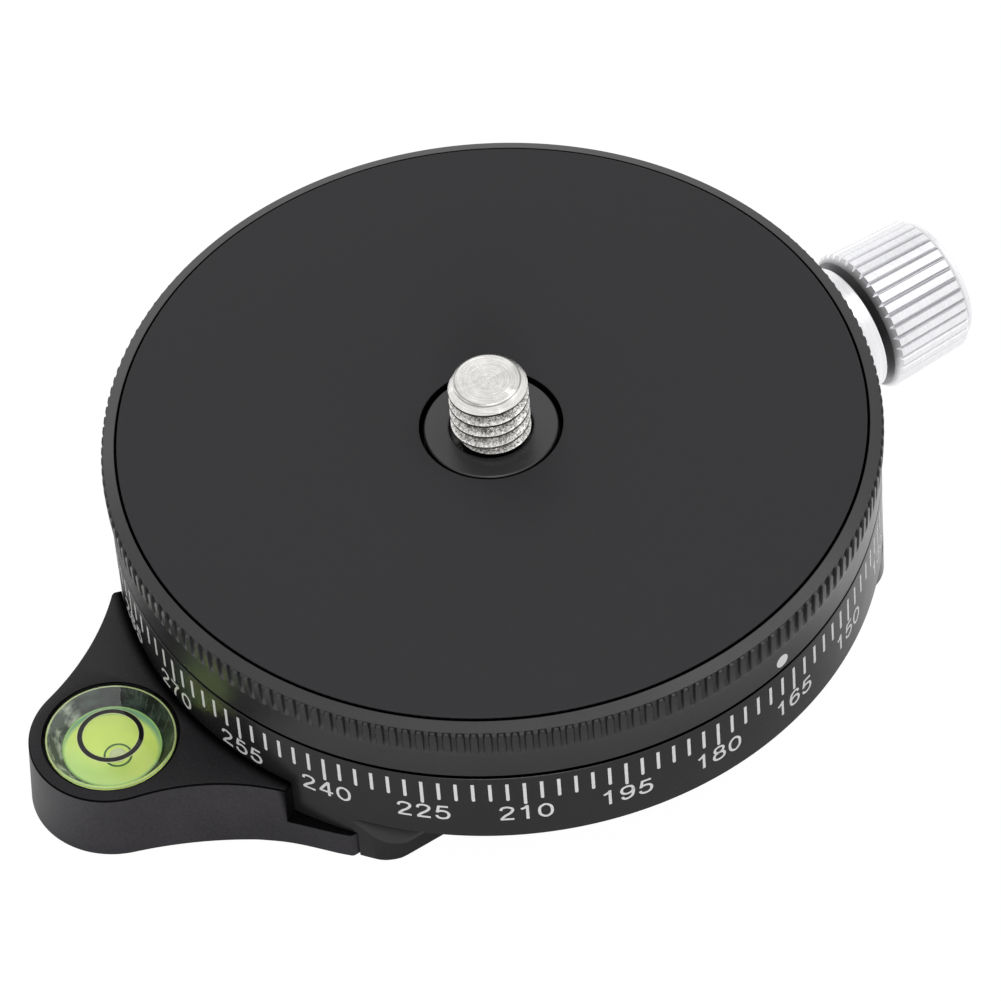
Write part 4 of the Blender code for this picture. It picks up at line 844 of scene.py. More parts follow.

# Each finish: its colour, its metal, roughness and its wander, grain and its bump, and
# what else it has. The zones that darken are painted shade in gaps, on edges and on
# faces that get no light, and along the bracket's wall a painted dark reflection of the
# drum. One zone lightens the disc in the pad's hole.
FINISHES = {
    "black_drum": ("black", 0.0, 0.27, 0.05, 9000.0, 0.10, dict(
        lines=7000.0, line_bump=0.16, line_shade=0.10, spread=0.10,
        # Painted shade in the gap over the drum's wall, under the platform
        zones=(zone(0.0283, 0.03061, 0.0117, 0.0120, 0.03),))),
    "black_platform": ("platform", 0.0, 0.30, 0.05, 7000.0, 0.30, dict(
        lines=6000.0, line_bump=0.08, line_shade=0.08, spread=0.30,
        # Painted shade in the gaps round the pad and under the rim over the drum; the third zone
        # lightens the hub
        zones=(zone(0.0255, 0.029905, 0.015, 0.0179, 0.03),
               zone(0.005365, 0.0062, 0.015, 0.0179, 0.03),
               zone(0.0035, 0.00535, 0.0178, 0.02, 1.35),
               zone(0.0283, 0.0309, 0.0118, 0.01213, 0.05)))),
    "black_blasted": ("blasted", 0.0, 0.42, 0.05, 4200.0, 0.80, dict(
        # Painted shade on the bracket's top face, top bevel and tongue, and a painted dark
        # reflection of the drum along the wall
        spread=0.70, zones=(zone(0.0, 0.1, 0.00622, 0.01, 0.45),
                            zone(0.0, 0.1, 0.00625, 0.006385, 0.10),
                            zone(0.0, 0.0314, 0.0061, 0.01, 0.05, 0.0005),
                            zone(0.0, 0.03185, 0.0026, 0.00622, 0.15, 0.00010)))),
    "pad_rubber": ("pad", 0.0, 0.70, 0.02, 9000.0, 0.45, dict(
        spread=0.16, specular=0.28,
        # Painted shade on the pad's outer side wall and round its hole
        zones=(zone(0.029685, 0.031, 0.0, 0.0181, 0.03, 0.000004),
               zone(0.0, 0.00572, 0.0, 0.0181, 0.03)))),
    "stainless_turned": ("steel", 1.0, 0.24, 0.08, 4200.0, 0.9, dict(
        lines=9000.0, line_bump=0.55, line_shade=0.12, spread=0.30)),
    "screw_grey": ("screw", 1.0, 0.34, 0.06, 5000.0, 0.15, dict(spread=0.10)),
    # Fluted adds painted shade in the flutes' valleys and on the knob's inner end
    "silver_knob": ("silver", 1.0, 0.46, 0.04, 5000.0, 0.60, dict(
        lines=5000.0, line_bump=0.20, line_shade=0.05, spread=0.10, on_knob=True,
        fluted=True)),
    "silver_collar": ("silver", 1.0, 0.30, 0.05, 6000.0, 0.10, dict(
        lines=6000.0, line_bump=0.45, line_shade=0.10, spread=0.05, on_knob=True)),
    "brass_turned": ("brass", 1.0, 0.34, 0.06, 5000.0, 0.12, dict(
        lines=6000.0, line_bump=0.30, line_shade=0.08)),
    "acetal_white": ("acetal", 0.0, 0.48, 0.06, 4000.0, 0.10, dict(spread=0.05)),
    "gasket_black": ("gasket", 0.0, 0.55, 0.06, 8000.0, 0.20, dict(
        spread=0.12, specular=0.05)),
    "scale_white": ("ink", *INK, dict(spread=0.05)),
    "ring_black": ((0.004, 0.004, 0.004), *INK, dict(spread=0.05, specular=0.05)),
    "halo_pale": ((0.92, 0.96, 0.45), *INK, dict(spread=0.05, specular=0.1)),
    "rim_pale": ((0.62, 0.70, 0.34), *INK, dict(spread=0.05, specular=0.1)),
}


def finish(name):
    """The named finish, made once."""
    if name in bpy.data.materials:
        return bpy.data.materials[name]
    tone, level = bpy.context.scene.base_finishes, bpy.context.scene.base_level
    if name in FINISHES:
        base, *numbers, options = FINISHES[name]
        base = getattr(tone, base) if isinstance(base, str) else base
        return made_finish(name, base, *numbers, **options)
    makers = {
        "stud_steel": lambda: thread_finish(name, tone.steel,
                                            BOX["camera_screw"][1].z - 0.0009),
        "vial_acrylic": lambda: clear_acrylic(name),
        "vial_wall": lambda: vial_wall(name),
        "vial_green": lambda: level_fluid(name, tone.fluid, level),
        "bubble_air": lambda: bubble_finish(name, level.bubble)}
    return makers[name]()


# Pieces

def rim_sector(sizes):
    """One groove's share of the platform, from the screw's hole to the rim."""
    bm = bmesh.new()
    half = math.pi / sizes.groove_count
    drop, edge, soft = 0.00013, 0.00012, 0.00010
    radius, land, bottom = sizes.radius, sizes.land, sizes.underside - drop
    slope = sizes.chamfer_rise / sizes.chamfer_width
    floor_reach = radius - sizes.groove_depth
    cut_reach = floor_reach - 0.00004
    lip_reach = floor_reach + sizes.lip
    lip_height = land - slope * (lip_reach - radius + sizes.chamfer_width)
    crest = land - sizes.chamfer_rise
    groove_low = crest - sizes.groove_length

    def face(*corners):
        kept = dict.fromkeys(corners)
        if len(kept) > 2:
            bm.faces.new(kept)

    shares = (-1.0, -0.86, -0.60, -0.50, 0.50, 0.60, 0.86, 1.0)
    depths = (0.0, 0.0, 0.16, 0.92, 1.0, 1.0, 0.92, 0.16, 0.0, 0.0)

    def row(reach, height, deep=None, width=sizes.groove_width):
        deep_reach, deep_height = deep or (reach, height)
        mouth = width / 2 / radius
        across = [-half, *[part * mouth for part in shares], half]
        return [bm.verts.new(polar(reach + (deep_reach - reach) * depth, turn,
                                   height + (deep_height - height) * depth))
                for turn, depth in zip(across, depths)]

    band = sizes.band_radius
    low_end, near_end = groove_low + sizes.groove_end, groove_low + sizes.groove_end * 0.3
    wide = 2 * half * radius * 0.82
    rows = [
        row(radius - sizes.chamfer_width, land),
        row(lip_reach, lip_height),
        row(lip_reach, lip_height - 0.00006, width=wide),
        row(lip_reach - 0.0001, lip_height - 0.00010,
            (floor_reach - sizes.undercut, lip_height - 0.00012), wide),
        row(radius - 0.00005, crest - 0.00014,
            (floor_reach - sizes.undercut, crest - 0.00026), wide * 0.94),
        row(radius, crest - 0.00045, (cut_reach, crest - sizes.undercut_length)),
        row(radius - 0.00005, low_end, (cut_reach, low_end)),
        row(radius - 0.00009, near_end, (radius - 0.00019, near_end)),
        row(radius - 0.00011, groove_low),
        row(band + 0.00004, groove_low - 0.0006),
        row(band, bottom + edge),
        row(band - edge, bottom)]
    for upper, lower in zip(rows, rows[1:]):
        for index in range(len(depths) - 1):
            face(upper[index], lower[index], lower[index + 1], upper[index + 1])

    floor, gap_floor = land - sizes.recess_depth, land - sizes.gap_depth
    inner_gap, outer_gap = 0.00575, 0.02966
    section = [
        (sizes.recess_radius, land), (sizes.recess_radius, gap_floor),
        (outer_gap, gap_floor), (outer_gap, floor), (inner_gap, floor),
        (inner_gap, gap_floor), (sizes.hub_radius, gap_floor),
        (sizes.hub_radius, land - soft), (sizes.hub_radius - soft, land),
        (sizes.hole_radius + soft, land), (sizes.hole_radius, land - soft),
        (sizes.hole_radius, sizes.spigot_ceiling),
        (sizes.spigot_radius, sizes.spigot_ceiling), (sizes.spigot_radius, bottom)]
    pairs = [[bm.verts.new(polar(reach, turn, height)) for turn in (-half, half)]
             for reach, height in section]
    face(*rows[0], pairs[0][1], pairs[0][0])
    for (near, far), (near_next, far_next) in zip(pairs, pairs[1:]):
        face(near, far, far_next, near_next)
    face(*rows[-1], pairs[-1][1], pairs[-1][0])
    return finished_mesh("rim_sector", bm)


def wrapped(name, outline, radius, depth, start=0.0):
    """A thin closed patch on a cylinder about Z, from an outline in (along, up)."""
    bm = bmesh.new()
    low, high = [[bm.verts.new(polar(reach, start + along / radius, height))
                  for along, height in outline]
                 for reach in (radius - depth, radius + depth)]
    bm.faces.new(low)
    bm.faces.new(high)
    for index in range(len(outline)):
        onward = (index + 1) % len(outline)
        bm.faces.new((low[index], low[onward], high[onward], high[index]))
    return finished_mesh(name, bm)


def tick_outline(width, top, bottom):
    """A line of the scale with a round lower end, in (along, up)."""
    half = width / 2
    return [(half, top), (-half, top),
            *arc((0, bottom + half), half, math.pi, 2 * math.pi, 6)]


STROKES = {
    "0": ((True, (0.325, 0.935), (0.12, 0.78), (0.07, 0.5), (0.12, 0.22), (0.325, 0.065),
           (0.53, 0.22), (0.58, 0.5), (0.53, 0.78)),),
    "1": ((False, (0.37, 1.0), (0.37, 0.5), (0.37, 0.0)),
          (False, (0.38, 0.96), (0.27, 0.83), (0.12, 0.74))),
    "2": ((False, (0.085, 0.70), (0.14, 0.87), (0.325, 0.935), (0.52, 0.86), (0.56, 0.70),
           (0.45, 0.50), (0.24, 0.30), (0.09, 0.09)),
          (False, (0.05, 0.065), (0.3, 0.065), (0.60, 0.065))),
    "3": ((False, (0.085, 0.74), (0.16, 0.88), (0.315, 0.935), (0.49, 0.87), (0.53, 0.72),
           (0.46, 0.58), (0.26, 0.53)),
          (False, (0.26, 0.53), (0.48, 0.49), (0.57, 0.30), (0.49, 0.13), (0.315, 0.065),
           (0.14, 0.12), (0.07, 0.28))),
    "4": ((False, (0.44, 0.97), (0.25, 0.64), (0.06, 0.28)),
          (False, (0.03, 0.27), (0.3, 0.27), (0.63, 0.27)),
          (False, (0.455, 1.0), (0.455, 0.5), (0.455, 0.0))),
    "5": ((False, (0.56, 0.93), (0.36, 0.93), (0.17, 0.93)),
          (False, (0.19, 0.97), (0.145, 0.70), (0.105, 0.48)),
          (False, (0.105, 0.50), (0.18, 0.58), (0.32, 0.615), (0.51, 0.54), (0.575, 0.34),
           (0.50, 0.14), (0.315, 0.065), (0.14, 0.12), (0.07, 0.27))),
    "6": ((False, (0.555, 0.75), (0.49, 0.89), (0.345, 0.935), (0.15, 0.81), (0.075, 0.50),
           (0.085, 0.30)),
          (True, (0.33, 0.585), (0.15, 0.51), (0.085, 0.32), (0.15, 0.13), (0.33, 0.065),
           (0.51, 0.14), (0.575, 0.33), (0.51, 0.51))),
    "7": ((False, (0.06, 0.92), (0.32, 0.92), (0.60, 0.92)),
          (False, (0.575, 0.90), (0.38, 0.60), (0.28, 0.32), (0.24, 0.0))),
    "8": ((True, (0.325, 0.935), (0.165, 0.885), (0.115, 0.74), (0.175, 0.59),
           (0.325, 0.54), (0.475, 0.59), (0.535, 0.74), (0.485, 0.885)),
          (True, (0.325, 0.54), (0.135, 0.475), (0.07, 0.30), (0.135, 0.13), (0.325, 0.065),
           (0.515, 0.13), (0.58, 0.30), (0.515, 0.475))),
    "9": ((False, (0.095, 0.25), (0.16, 0.11), (0.305, 0.065), (0.50, 0.19), (0.575, 0.50),
           (0.565, 0.70)),
          (True, (0.32, 0.415), (0.50, 0.49), (0.565, 0.68), (0.50, 0.87), (0.32, 0.935),
           (0.14, 0.86), (0.075, 0.67), (0.14, 0.49))),
}
STROKE_WIDTH = 0.12
DIGIT_ADVANCE = 0.777
DIGIT_SPAN = 0.65


def smoothed(points, closed, steps=4):
    """Points on a smooth curve through the given ones."""
    points = [Vector(point) for point in points]
    count = len(points)
    if closed:
        spans = [[points[(index + shift) % count] for shift in (-1, 0, 1, 2)]
                 for index in range(count)]
    else:
        ends = [2 * points[0] - points[1], *points, 2 * points[-1] - points[-2]]
        spans = [ends[index:index + 4] for index in range(count - 1)]
    result = []
    for before, start, end, after in spans:
        for step in range(steps):
            t = step / steps
            result.append(0.5 * (2 * start + (end - before) * t
                                 + (2 * before - 5 * start + 4 * end - after) * t ** 2
                                 + (3 * start - before - 3 * end + after) * t ** 3))
    return result if closed else [*result, points[-1]]


def draw_stroke(bm, stroke, width, to_drum):
    """Add one stroke of a digit as a thin solid ribbon."""
    closed, *points = stroke
    line = smoothed(points, closed)
    count = len(line)
    rings = []
    for index, point in enumerate(line):
        before = line[index - 1] if closed or index else point
        after = line[(index + 1) % count] if closed or index < count - 1 else point
        ahead = (after - before).normalized()
        aside = Vector((-ahead.y, ahead.x)) * width / 2
        rings.append([bm.verts.new(to_drum(point + side * aside, out))
                      for side, out in ((-1, -1), (1, -1), (1, 1), (-1, 1))])
    pairs = list(zip(rings, rings[1:]))
    if closed:
        pairs.append((rings[-1], rings[0]))
    else:
        bm.faces.new(rings[0])
        bm.faces.new(rings[-1])
    for low, high in pairs:
        for side in range(4):
            bm.faces.new((low[side - 1], low[side], high[side], high[side - 1]))


def draw_number(bm, text, sizes, turn, radius, depth):
    """Add one number of the scale, upright and centred at an angle of the drum."""
    unit = sizes.digit_width / (2 * DIGIT_ADVANCE + DIGIT_SPAN)
    middle = ((len(text) - 1) * DIGIT_ADVANCE + DIGIT_SPAN) / 2
    for index, digit in enumerate(text):
        for stroke in STROKES[digit]:
            def to_drum(point, out):
                along = (point.x + index * DIGIT_ADVANCE - middle) * unit
                return polar(radius + depth * out, turn + along / radius,
                             sizes.digit_base + point.y * sizes.digit_height)
            draw_stroke(bm, stroke, STROKE_WIDTH, to_drum)


def foot_corner(sizes, side_x, side_y):
    """A cutter that rounds one upright corner of the foot."""
    flat = sizes.foot_width / 2
    inner = sizes.radius - sizes.foot_corner
    centre_y = flat - sizes.foot_corner
    centre_x = math.sqrt(inner ** 2 - centre_y ** 2)
    rounding = arc((centre_x, centre_y), sizes.foot_corner,
                   math.atan2(centre_y, centre_x), math.pi / 2, 16)
    far = flat + OVERRUN
    outline = [(rounding[0][0] + OVERRUN, rounding[0][1]), *rounding,
               (rounding[-1][0], far), (centre_x + sizes.foot_corner + OVERRUN, far)]
    return prism("foot_corner", [(side_x * x, side_y * y) for x, y in outline], -OVERRUN,
                 sizes.foot_height)


def dovetail_side(sizes, side):
    """A cutter that leaves the dovetail along one side, with its edges broken."""
    lip = sizes.foot_width / 2
    neck = lip - (sizes.foot_height - sizes.lip)
    far = sizes.radius + OVERRUN
    soft = 0.00010
    outline = [(lip - soft, -OVERRUN), (far, -OVERRUN), (far, sizes.foot_height),
               (neck, sizes.foot_height), (lip - soft, sizes.lip + soft),
               (lip, sizes.lip - soft), (lip, soft), (lip - soft, 0)]
    return finished_mesh("dovetail_side", drawn_out(
        [(-far, side * y, z) for y, z in outline], (2 * far, 0, 0)))


def drum_edge(sizes, side):
    """The ring that bevels the drum's lower edge beside the foot."""
    overlap, far = 0.0002, 0.035
    low = sizes.foot_height - overlap
    inner, outer = sizes.radius - sizes.edge - overlap, sizes.radius + OVERRUN
    ring = lathe("edge_ring", [(inner, low), (outer, low), (outer, low + outer - inner)],
                 360)
    near_y, far_y = sorted((side * 0.0173, side * far))
    box = prism("edge_box", [(-far, near_y), (far, near_y), (far, far_y), (-far, far_y)],
                0.0, 0.010)
    return carved(ring, ("INTERSECT", box))


def plate_outline(half, radius, steps=16):
    """Plan of the foot plate, a square with round corners."""
    lean = math.acos(half / radius)
    outline = []
    for quarter in range(4):
        turn = quarter * math.pi / 2
        outline += arc(PAN_AXIS, radius, turn + lean, turn + math.pi / 2 - lean, steps)
    return outline


def flank_arc(tip, end_radius, flank_radius):
    """The hollow flank from a tip to the round end, and half of that end."""
    centre = (LEVEL_CENTRE.x, 0)
    reach = end_radius + flank_radius
    run = Vector(tip) - Vector(centre)
    along = (reach ** 2 - flank_radius ** 2 + run.length ** 2) / (2 * run.length)
    aside = math.sqrt(reach ** 2 - along ** 2)
    ahead = run.normalized()
    flank = Vector(centre) + along * ahead + aside * Vector((-ahead.y, ahead.x))
    tip_turn = math.atan2(tip[1] - flank.y, tip[0] - flank.x)
    end_turn = math.atan2(centre[1] - flank.y, centre[0] - flank.x)
    curve = arc(flank, flank_radius, tip_turn, end_turn, 32)
    return curve + arc(centre, end_radius, end_turn + math.pi, math.pi, 32)[1:]


def rim_run(reach, end_reach, turn, end_turn, steps=12):
    """Points round the pan axis, from one reach and turn to another."""
    return [polar(reach + (end_reach - reach) * step / steps,
                  turn + (end_turn - turn) * step / steps) for step in range(steps + 1)]


def bracket_outline(sizes, end_radius, flank_radius, smoothing):
    """Plan of the level's bracket: far side first, then the near one, tip smoothed."""
    slit = math.pi - math.asin(sizes.tongue_half / sizes.tongue_end)
    rim = rim_run(sizes.tongue_end, sizes.tip_radius, slit, math.pi - sizes.tip_angle)
    root = (-sizes.tongue_reach, sizes.tongue_half)
    corner = filleted([root, (rim[0][0], sizes.tongue_half, 0.0003), rim[1]],
                      closed=False)
    side = corner[:-1] + rim[1:-1]
    ledge = rim_run(sizes.far_ledge, sizes.far_ledge, slit,
                    math.pi - sizes.far_step_angle)
    far_tip = polar(sizes.far_tip_radius, math.pi - sizes.far_step_angle)
    past = flank_arc(far_tip, end_radius, max(flank_radius, sizes.far_flank))
    rounded = filleted([ledge[-1], (*far_tip, 0.0004), past[2]], closed=False, steps=8)
    far = [root, (ledge[0][0], sizes.tongue_half), *ledge, *rounded[1:-1], *past[2:]]
    near = side + flank_arc(rim[-1], end_radius, flank_radius)
    for _ in range(smoothing):
        for index in range(len(side) - 8, len(side) + 7):
            before, after = Vector(near[index - 1]), Vector(near[index + 1])
            near[index] = tuple((before + after) / 4 + Vector(near[index]) / 2)
    return far + [(x, -y) for x, y in reversed(near[:-1])]


def drafted_prism(name, foot, head, bottom, top, edges):
    """Join two plan outlines of as many points, and draw the top edge in by steps."""
    bm = bmesh.new()
    high = top - sum(rise for _, rise in edges)
    base = bm.faces.new([bm.verts.new((x, y, bottom)) for x, y in foot])
    walls = [bm.verts.new((x, y, high)) for x, y in head]
    cap = bm.faces.new(walls)
    low = list(base.verts)
    for index in range(len(low)):
        bm.faces.new((low[index - 1], low[index], walls[index], walls[index - 1]))
    bmesh.ops.recalc_face_normals(bm, faces=bm.faces)
    base_margin = 0.0001
    for face, inward, outward in (*[(cap, *edge) for edge in edges],
                                  (base, base_margin, 0)):
        bmesh.ops.inset_region(bm, faces=[face], thickness=inward, depth=outward,
                               use_even_offset=True)
    return finished_mesh(name, bm)


def bracket_step(sizes):
    """A cutter that clears the drum above the tongue."""
    near, far_end = math.pi + sizes.step_angle, math.pi - sizes.far_step_angle
    mouth, far = 0.0312, 2 * sizes.tip_radius
    outline = [polar(mouth, far_end), *arc(PAN_AXIS, sizes.wall_radius, far_end, near, 48),
               polar(far, near), (0, -far), (0, far), polar(far, far_end - 0.2)]
    return prism("bracket_step", outline, sizes.tongue_top, sizes.top + OVERRUN)


def dome(radius, edge_height, rise, steps):
    """Section of a shallow dome from its middle out to its edge."""
    sphere = (radius ** 2 + rise ** 2) / (2 * rise)
    spread = math.asin(radius / sphere)
    turns = [spread * step / steps for step in range(steps + 1)]
    return [(sphere * math.sin(turn), edge_height + rise - sphere * (1 - math.cos(turn)))
            for turn in turns]


def countersunk_screw(name, radii, face, reach):
    """A countersunk screw that stands with its head's face down, with a hexagon socket."""
    radius, head_radius = radii
    lip = head_radius * 0.15
    cone = lip + head_radius - radius
    body = lathe(name, [(0, face), (head_radius, face, 0.0001),
                        (head_radius, face + lip), (radius, face + cone),
                        (radius, face + reach, 0.0002), (0, face + reach)], 48)
    return carved(body, hexagon_prism("socket", head_radius * 0.5, face - OVERRUN,
                                      face + head_radius * 0.45))


def countersink(radii, face, depth, shift):
    """A cutter for the hole of a countersunk screw with its face down."""
    bore, mouth = radii[0] + SEAT_GAP, radii[1] + SEAT_GAP
    lip = radii[1] * 0.15 + SEAT_GAP
    return moved(lathe("countersink", [
        (0, face - OVERRUN), (mouth, face - OVERRUN), (mouth, face + lip),
        (bore, face + lip + mouth - bore), (bore, face + depth), (0, face + depth)], 48),
        shift)


def bubble_mesh(sizes):
    """The bubble: a thin ring of painted shade and a small pale cap of painted highlight inside
    it.
    """
    radius, level = sizes.bubble, sizes.bubble_height
    rim, core = radius - 0.00016, radius * 0.62
    ring = lathe("bubble_edge", ring_section(rim, radius, level, level + 0.00003), 48)
    cap = lathe("bubble_cap", [(0, level + 0.00002), (core, level + 0.00002),
                               (core, level), (0, level)], 48)
    return moved(joined("bubble", ring, cap), (*BUBBLE_CENTRE, 0))


def knob_sector(sizes):
    """One flute's share of the knob, made round Z."""
    bm = bmesh.new()
    pitch = 2 * math.pi / sizes.flute_count
    crest, valley = (1 - sizes.crest) / 2, sizes.valley / 2
    shares = (-0.5, -crest, -valley, valley, crest, 0.5)
    deep = (0, 0, 1, 1, 0, 0)
    depth, soft = sizes.flute_depth, 0.00012
    flute_end = sizes.end - sizes.rim
    head_seat = BOX["knob_screw"][1].x - CAP_HEAD - SEAT_GAP
    web = BOX["knob_screw"][1].x - CAP_HEAD - 0.0010
    head_hole, shank_hole = 0.0028, 0.00145
    inner, outer, face = sizes.inner_radius, sizes.outer_radius, sizes.outer_chamfer
    rows = [
        (inner - sizes.inner_chamfer, sizes.start, False),
        (inner, sizes.start + sizes.inner_chamfer, True),
        (outer, flute_end - face, True), (outer - face, flute_end, False),
        (outer - face, sizes.end - soft, False), (outer - face - soft, sizes.end, False),
        (head_hole + soft, sizes.end, False), (head_hole, sizes.end - soft, False),
        (head_hole, head_seat, False), (shank_hole, head_seat, False),
        (shank_hole, web, False), (ROD_HOLE, web, False), (ROD_HOLE, sizes.start, False)]
    rings = []
    for index, (radius, along, fluted) in enumerate(rows):
        away = depth if index == 2 else -depth
        rings.append([bm.verts.new(polar(radius - depth * cut * fluted, turn * pitch,
                                         along + away * cut * fluted))
                      for turn, cut in zip(shares, deep)])
    for low, high in zip(rings, rings[1:] + rings[:1]):
        for index in range(len(shares) - 1):
            bm.faces.new((low[index], low[index + 1], high[index + 1], high[index]))
    return finished_mesh("knob_sector", bm)


# Operators

class BuildOperator(bpy.types.Operator):
    """Shared base of the operators that build pieces."""

    bl_idname = "tripod_base.build"
    bl_label = "Build"
    bl_options = {"REGISTER", "UNDO"}

    def execute(self, context):
        self.build(context.scene)
        return {"FINISHED"}


class TRIPOD_BASE_OT_platform(BuildOperator):
    """Build the rotating platform with its grooved rim and its index dot"""

    bl_idname = "tripod_base.platform"
    bl_label = "Platform"

    def build(self, scene):
        sizes = scene.base_platform
        place("platform_disc", repeated("platform_disc", rim_sector(sizes),
                                        "black_platform", sizes.groove_count),
              "black_platform", "platform", "platform_black", "rotating_platform")
        outline = arc((0, sizes.dot_height), sizes.dot_radius, 0, 2 * math.pi, 32)[:-1]
        depth = 0.00002
        mark = wrapped("index_dot", outline, sizes.band_radius + depth, depth,
                       sizes.dot_angle)
        place("index_dot", mark, "scale_white", "platform", "platform_black")


class TRIPOD_BASE_OT_pad(BuildOperator):
    """Build the thin grip pad in the platform's recess"""

    bl_idname = "tripod_base.pad"
    bl_label = "Grip pad"

    def build(self, scene):
        low, high = BOX["grip_pad"]
        hole, edge, soft = 0.0057, 0.02969, 0.00014
        place("pad", lathe("pad", ring_section(hole, edge, low.z, high.z, soft)),
              "pad_rubber", "platform", "pad_black", "grip_pad")


class TRIPOD_BASE_OT_stud(BuildOperator):
    """Build the threaded camera screw"""

    bl_idname = "tripod_base.stud"
    bl_label = "Camera screw"

    def build(self, scene):
        sizes = scene.base_stud
        low, high = BOX["camera_screw"]
        head_top = low.z + 0.0014
        rod = threaded_rod("stud", sizes.radius + 0.00003, sizes.pitch, sizes.depth,
                           head_top, high.z)
        soft = 0.00006
        blank = lathe("blank", [
            (0, head_top), (sizes.neck, head_top), (sizes.neck, sizes.thread_end),
            (sizes.radius, sizes.thread_end + 0.0003),
            (sizes.radius, high.z - sizes.chamfer, soft),
            (sizes.radius - sizes.chamfer, high.z, soft), (0, high.z)], SMALL_ROUND)
        shank = carved(rod, ("INTERSECT", blank), sharp=SOFT)
        head = hexagon_prism("stud_head", high.x, low.z, head_top)
        place("stud", joined("stud", shank, head, sharp=SOFT), "stud_steel", "platform",
              "stainless", "camera_screw")


class TRIPOD_BASE_OT_drum(BuildOperator):
    """Build the drum with its dovetail foot"""

    bl_idname = "tripod_base.drum"
    bl_label = "Drum and foot"

    def build(self, scene):
        sizes = scene.base_drum
        arm = scene.base_bracket
        radius, top = sizes.radius, sizes.top
        well, well_floor, plate_hole = 0.0123, 0.0037, 0.0143
        groove_outer, groove_inner, groove_floor = 0.0280, 0.0240, top - 0.0010
        body = lathe("drum", [
            (well, well_floor), (plate_hole, well_floor), (plate_hole, 0),
            (radius, 0, 0.00012), (radius, sizes.wall_top, 0.00010),
            (sizes.gap_reach, sizes.wall_top), (sizes.gap_reach, top),
            (groove_outer, top), (groove_outer, groove_floor),
            (groove_inner, groove_floor), (groove_inner, top), (well, top)])
        cuts = [prism("plate_recess", plate_outline(0.0155, 0.0194), -OVERRUN, 0.0018)]
        for side in (1, -1):
            cuts += [dovetail_side(sizes, side), drum_edge(sizes, side)]
            cuts += [foot_corner(sizes, end, side) for end in (1, -1)]
        half = arm.tongue_half + SEAT_GAP
        start, far = arm.tongue_reach - SEAT_GAP, radius + OVERRUN
        cuts.append(prism("pocket", [(-start, -half), (-start, half), (-far, half),
                                     (-far, -half)],
                          -OVERRUN, arm.tongue_top + SEAT_GAP))
        seat = scene.base_knob.collar_radius + SEAT_GAP
        nose, nose_floor, seat_floor = 0.0042, 0.0258, 0.0298
        shoe_hole, shoe_start, shoe_end = 0.0018, 0.0120, 0.0146
        cuts.append(on_knob_line(lathe("knob_bore", [
            (0, far), (seat, far), (seat, seat_floor), (nose, seat_floor),
            (nose, nose_floor), (ROD_HOLE, nose_floor), (ROD_HOLE, shoe_end),
            (shoe_hole, shoe_end), (shoe_hole, shoe_start), (0, shoe_start)],
            SMALL_ROUND)))
        place("drum", carved(body, *cuts), "black_drum", "base", "body_black", "base_body")


class TRIPOD_BASE_OT_scale(BuildOperator):
    """Print the scale's lines and numbers round the drum"""

    bl_idname = "tripod_base.scale"
    bl_label = "Scale"

    def build(self, scene):
        sizes = scene.base_drum
        depth = 0.00001
        radius = sizes.radius + depth
        short, long = [
            wrapped("line", tick_outline(sizes.tick_width, sizes.tick_top, low), radius,
                    depth) for low in (sizes.short_tick, sizes.long_tick)]
        lines = joined(
            "scale_lines",
            repeated("short_lines", short, "scale_white", 144, sizes.zero_angle,
                     leave_out=6),
            repeated("long_lines", long, "scale_white", 24, sizes.zero_angle))
        place("scale_lines", lines, "scale_white", "base", "body_black")
        bm = bmesh.new()
        for degrees in range(0, 360, 15):
            draw_number(bm, str(degrees), sizes, sizes.zero_angle - math.radians(degrees),
                        radius, depth)
        place("scale_numbers", finished_mesh("scale_numbers", bm), "scale_white", "base",
              "body_black")


class TRIPOD_BASE_OT_bracket(BuildOperator):
    """Build the bracket that holds the level, and its screws"""

    bl_idname = "tripod_base.bracket"
    bl_label = "Level bracket"

    def build(self, scene):
        sizes = scene.base_bracket
        edge = sizes.edge
        steps = [(edge * 0.10, edge * 0.28), (edge * 0.62, edge * 0.62),
                 (edge * 0.28, edge * 0.10)]
        foot = bracket_outline(sizes, sizes.end_radius + sizes.end_draft,
                               sizes.flank_foot, 24)
        head = bracket_outline(sizes, sizes.end_radius, sizes.flank_radius, 1)
        mesh = drafted_prism("level_arm", foot, head, sizes.underside, sizes.top, steps)
        pocket, seal = scene.base_level.radius + 0.00012, 0.00548
        top, ledge = sizes.top + OVERRUN, sizes.top - 0.0009
        low = scene.base_level.floor - SEAT_GAP
        hole = lathe("pocket", [(0, top), (seal, top), (seal, ledge), (pocket, ledge),
                                (pocket, low), (0, low)], SMALL_ROUND)
        screw_x, screw_y = -0.0261, 0.0095
        face = sizes.underside + SEAT_GAP
        sinks = [countersink(ARM_SCREW, face, 0.004, (screw_x, y, 0))
                 for y in (screw_y, -screw_y)]
        place("level_arm", carved(mesh, bracket_step(sizes), moved(hole, LEVEL_CENTRE),
                                  *sinks),
              "black_blasted", "base", "bracket_black", "level_bracket")
        screw = countersunk_screw("arm_screw", ARM_SCREW, face, 0.0060)
        moved(screw, (math.hypot(screw_x, screw_y), 0, 0))
        turn = math.atan2(screw_y, -screw_x)
        pair = repeated("arm_screws", screw, "screw_grey", 2, math.pi - turn, 2 * turn)
        place("arm_screws", pair, "screw_grey", "base", "screw_steel", "bracket_screw_1",
              "bracket_screw_2")


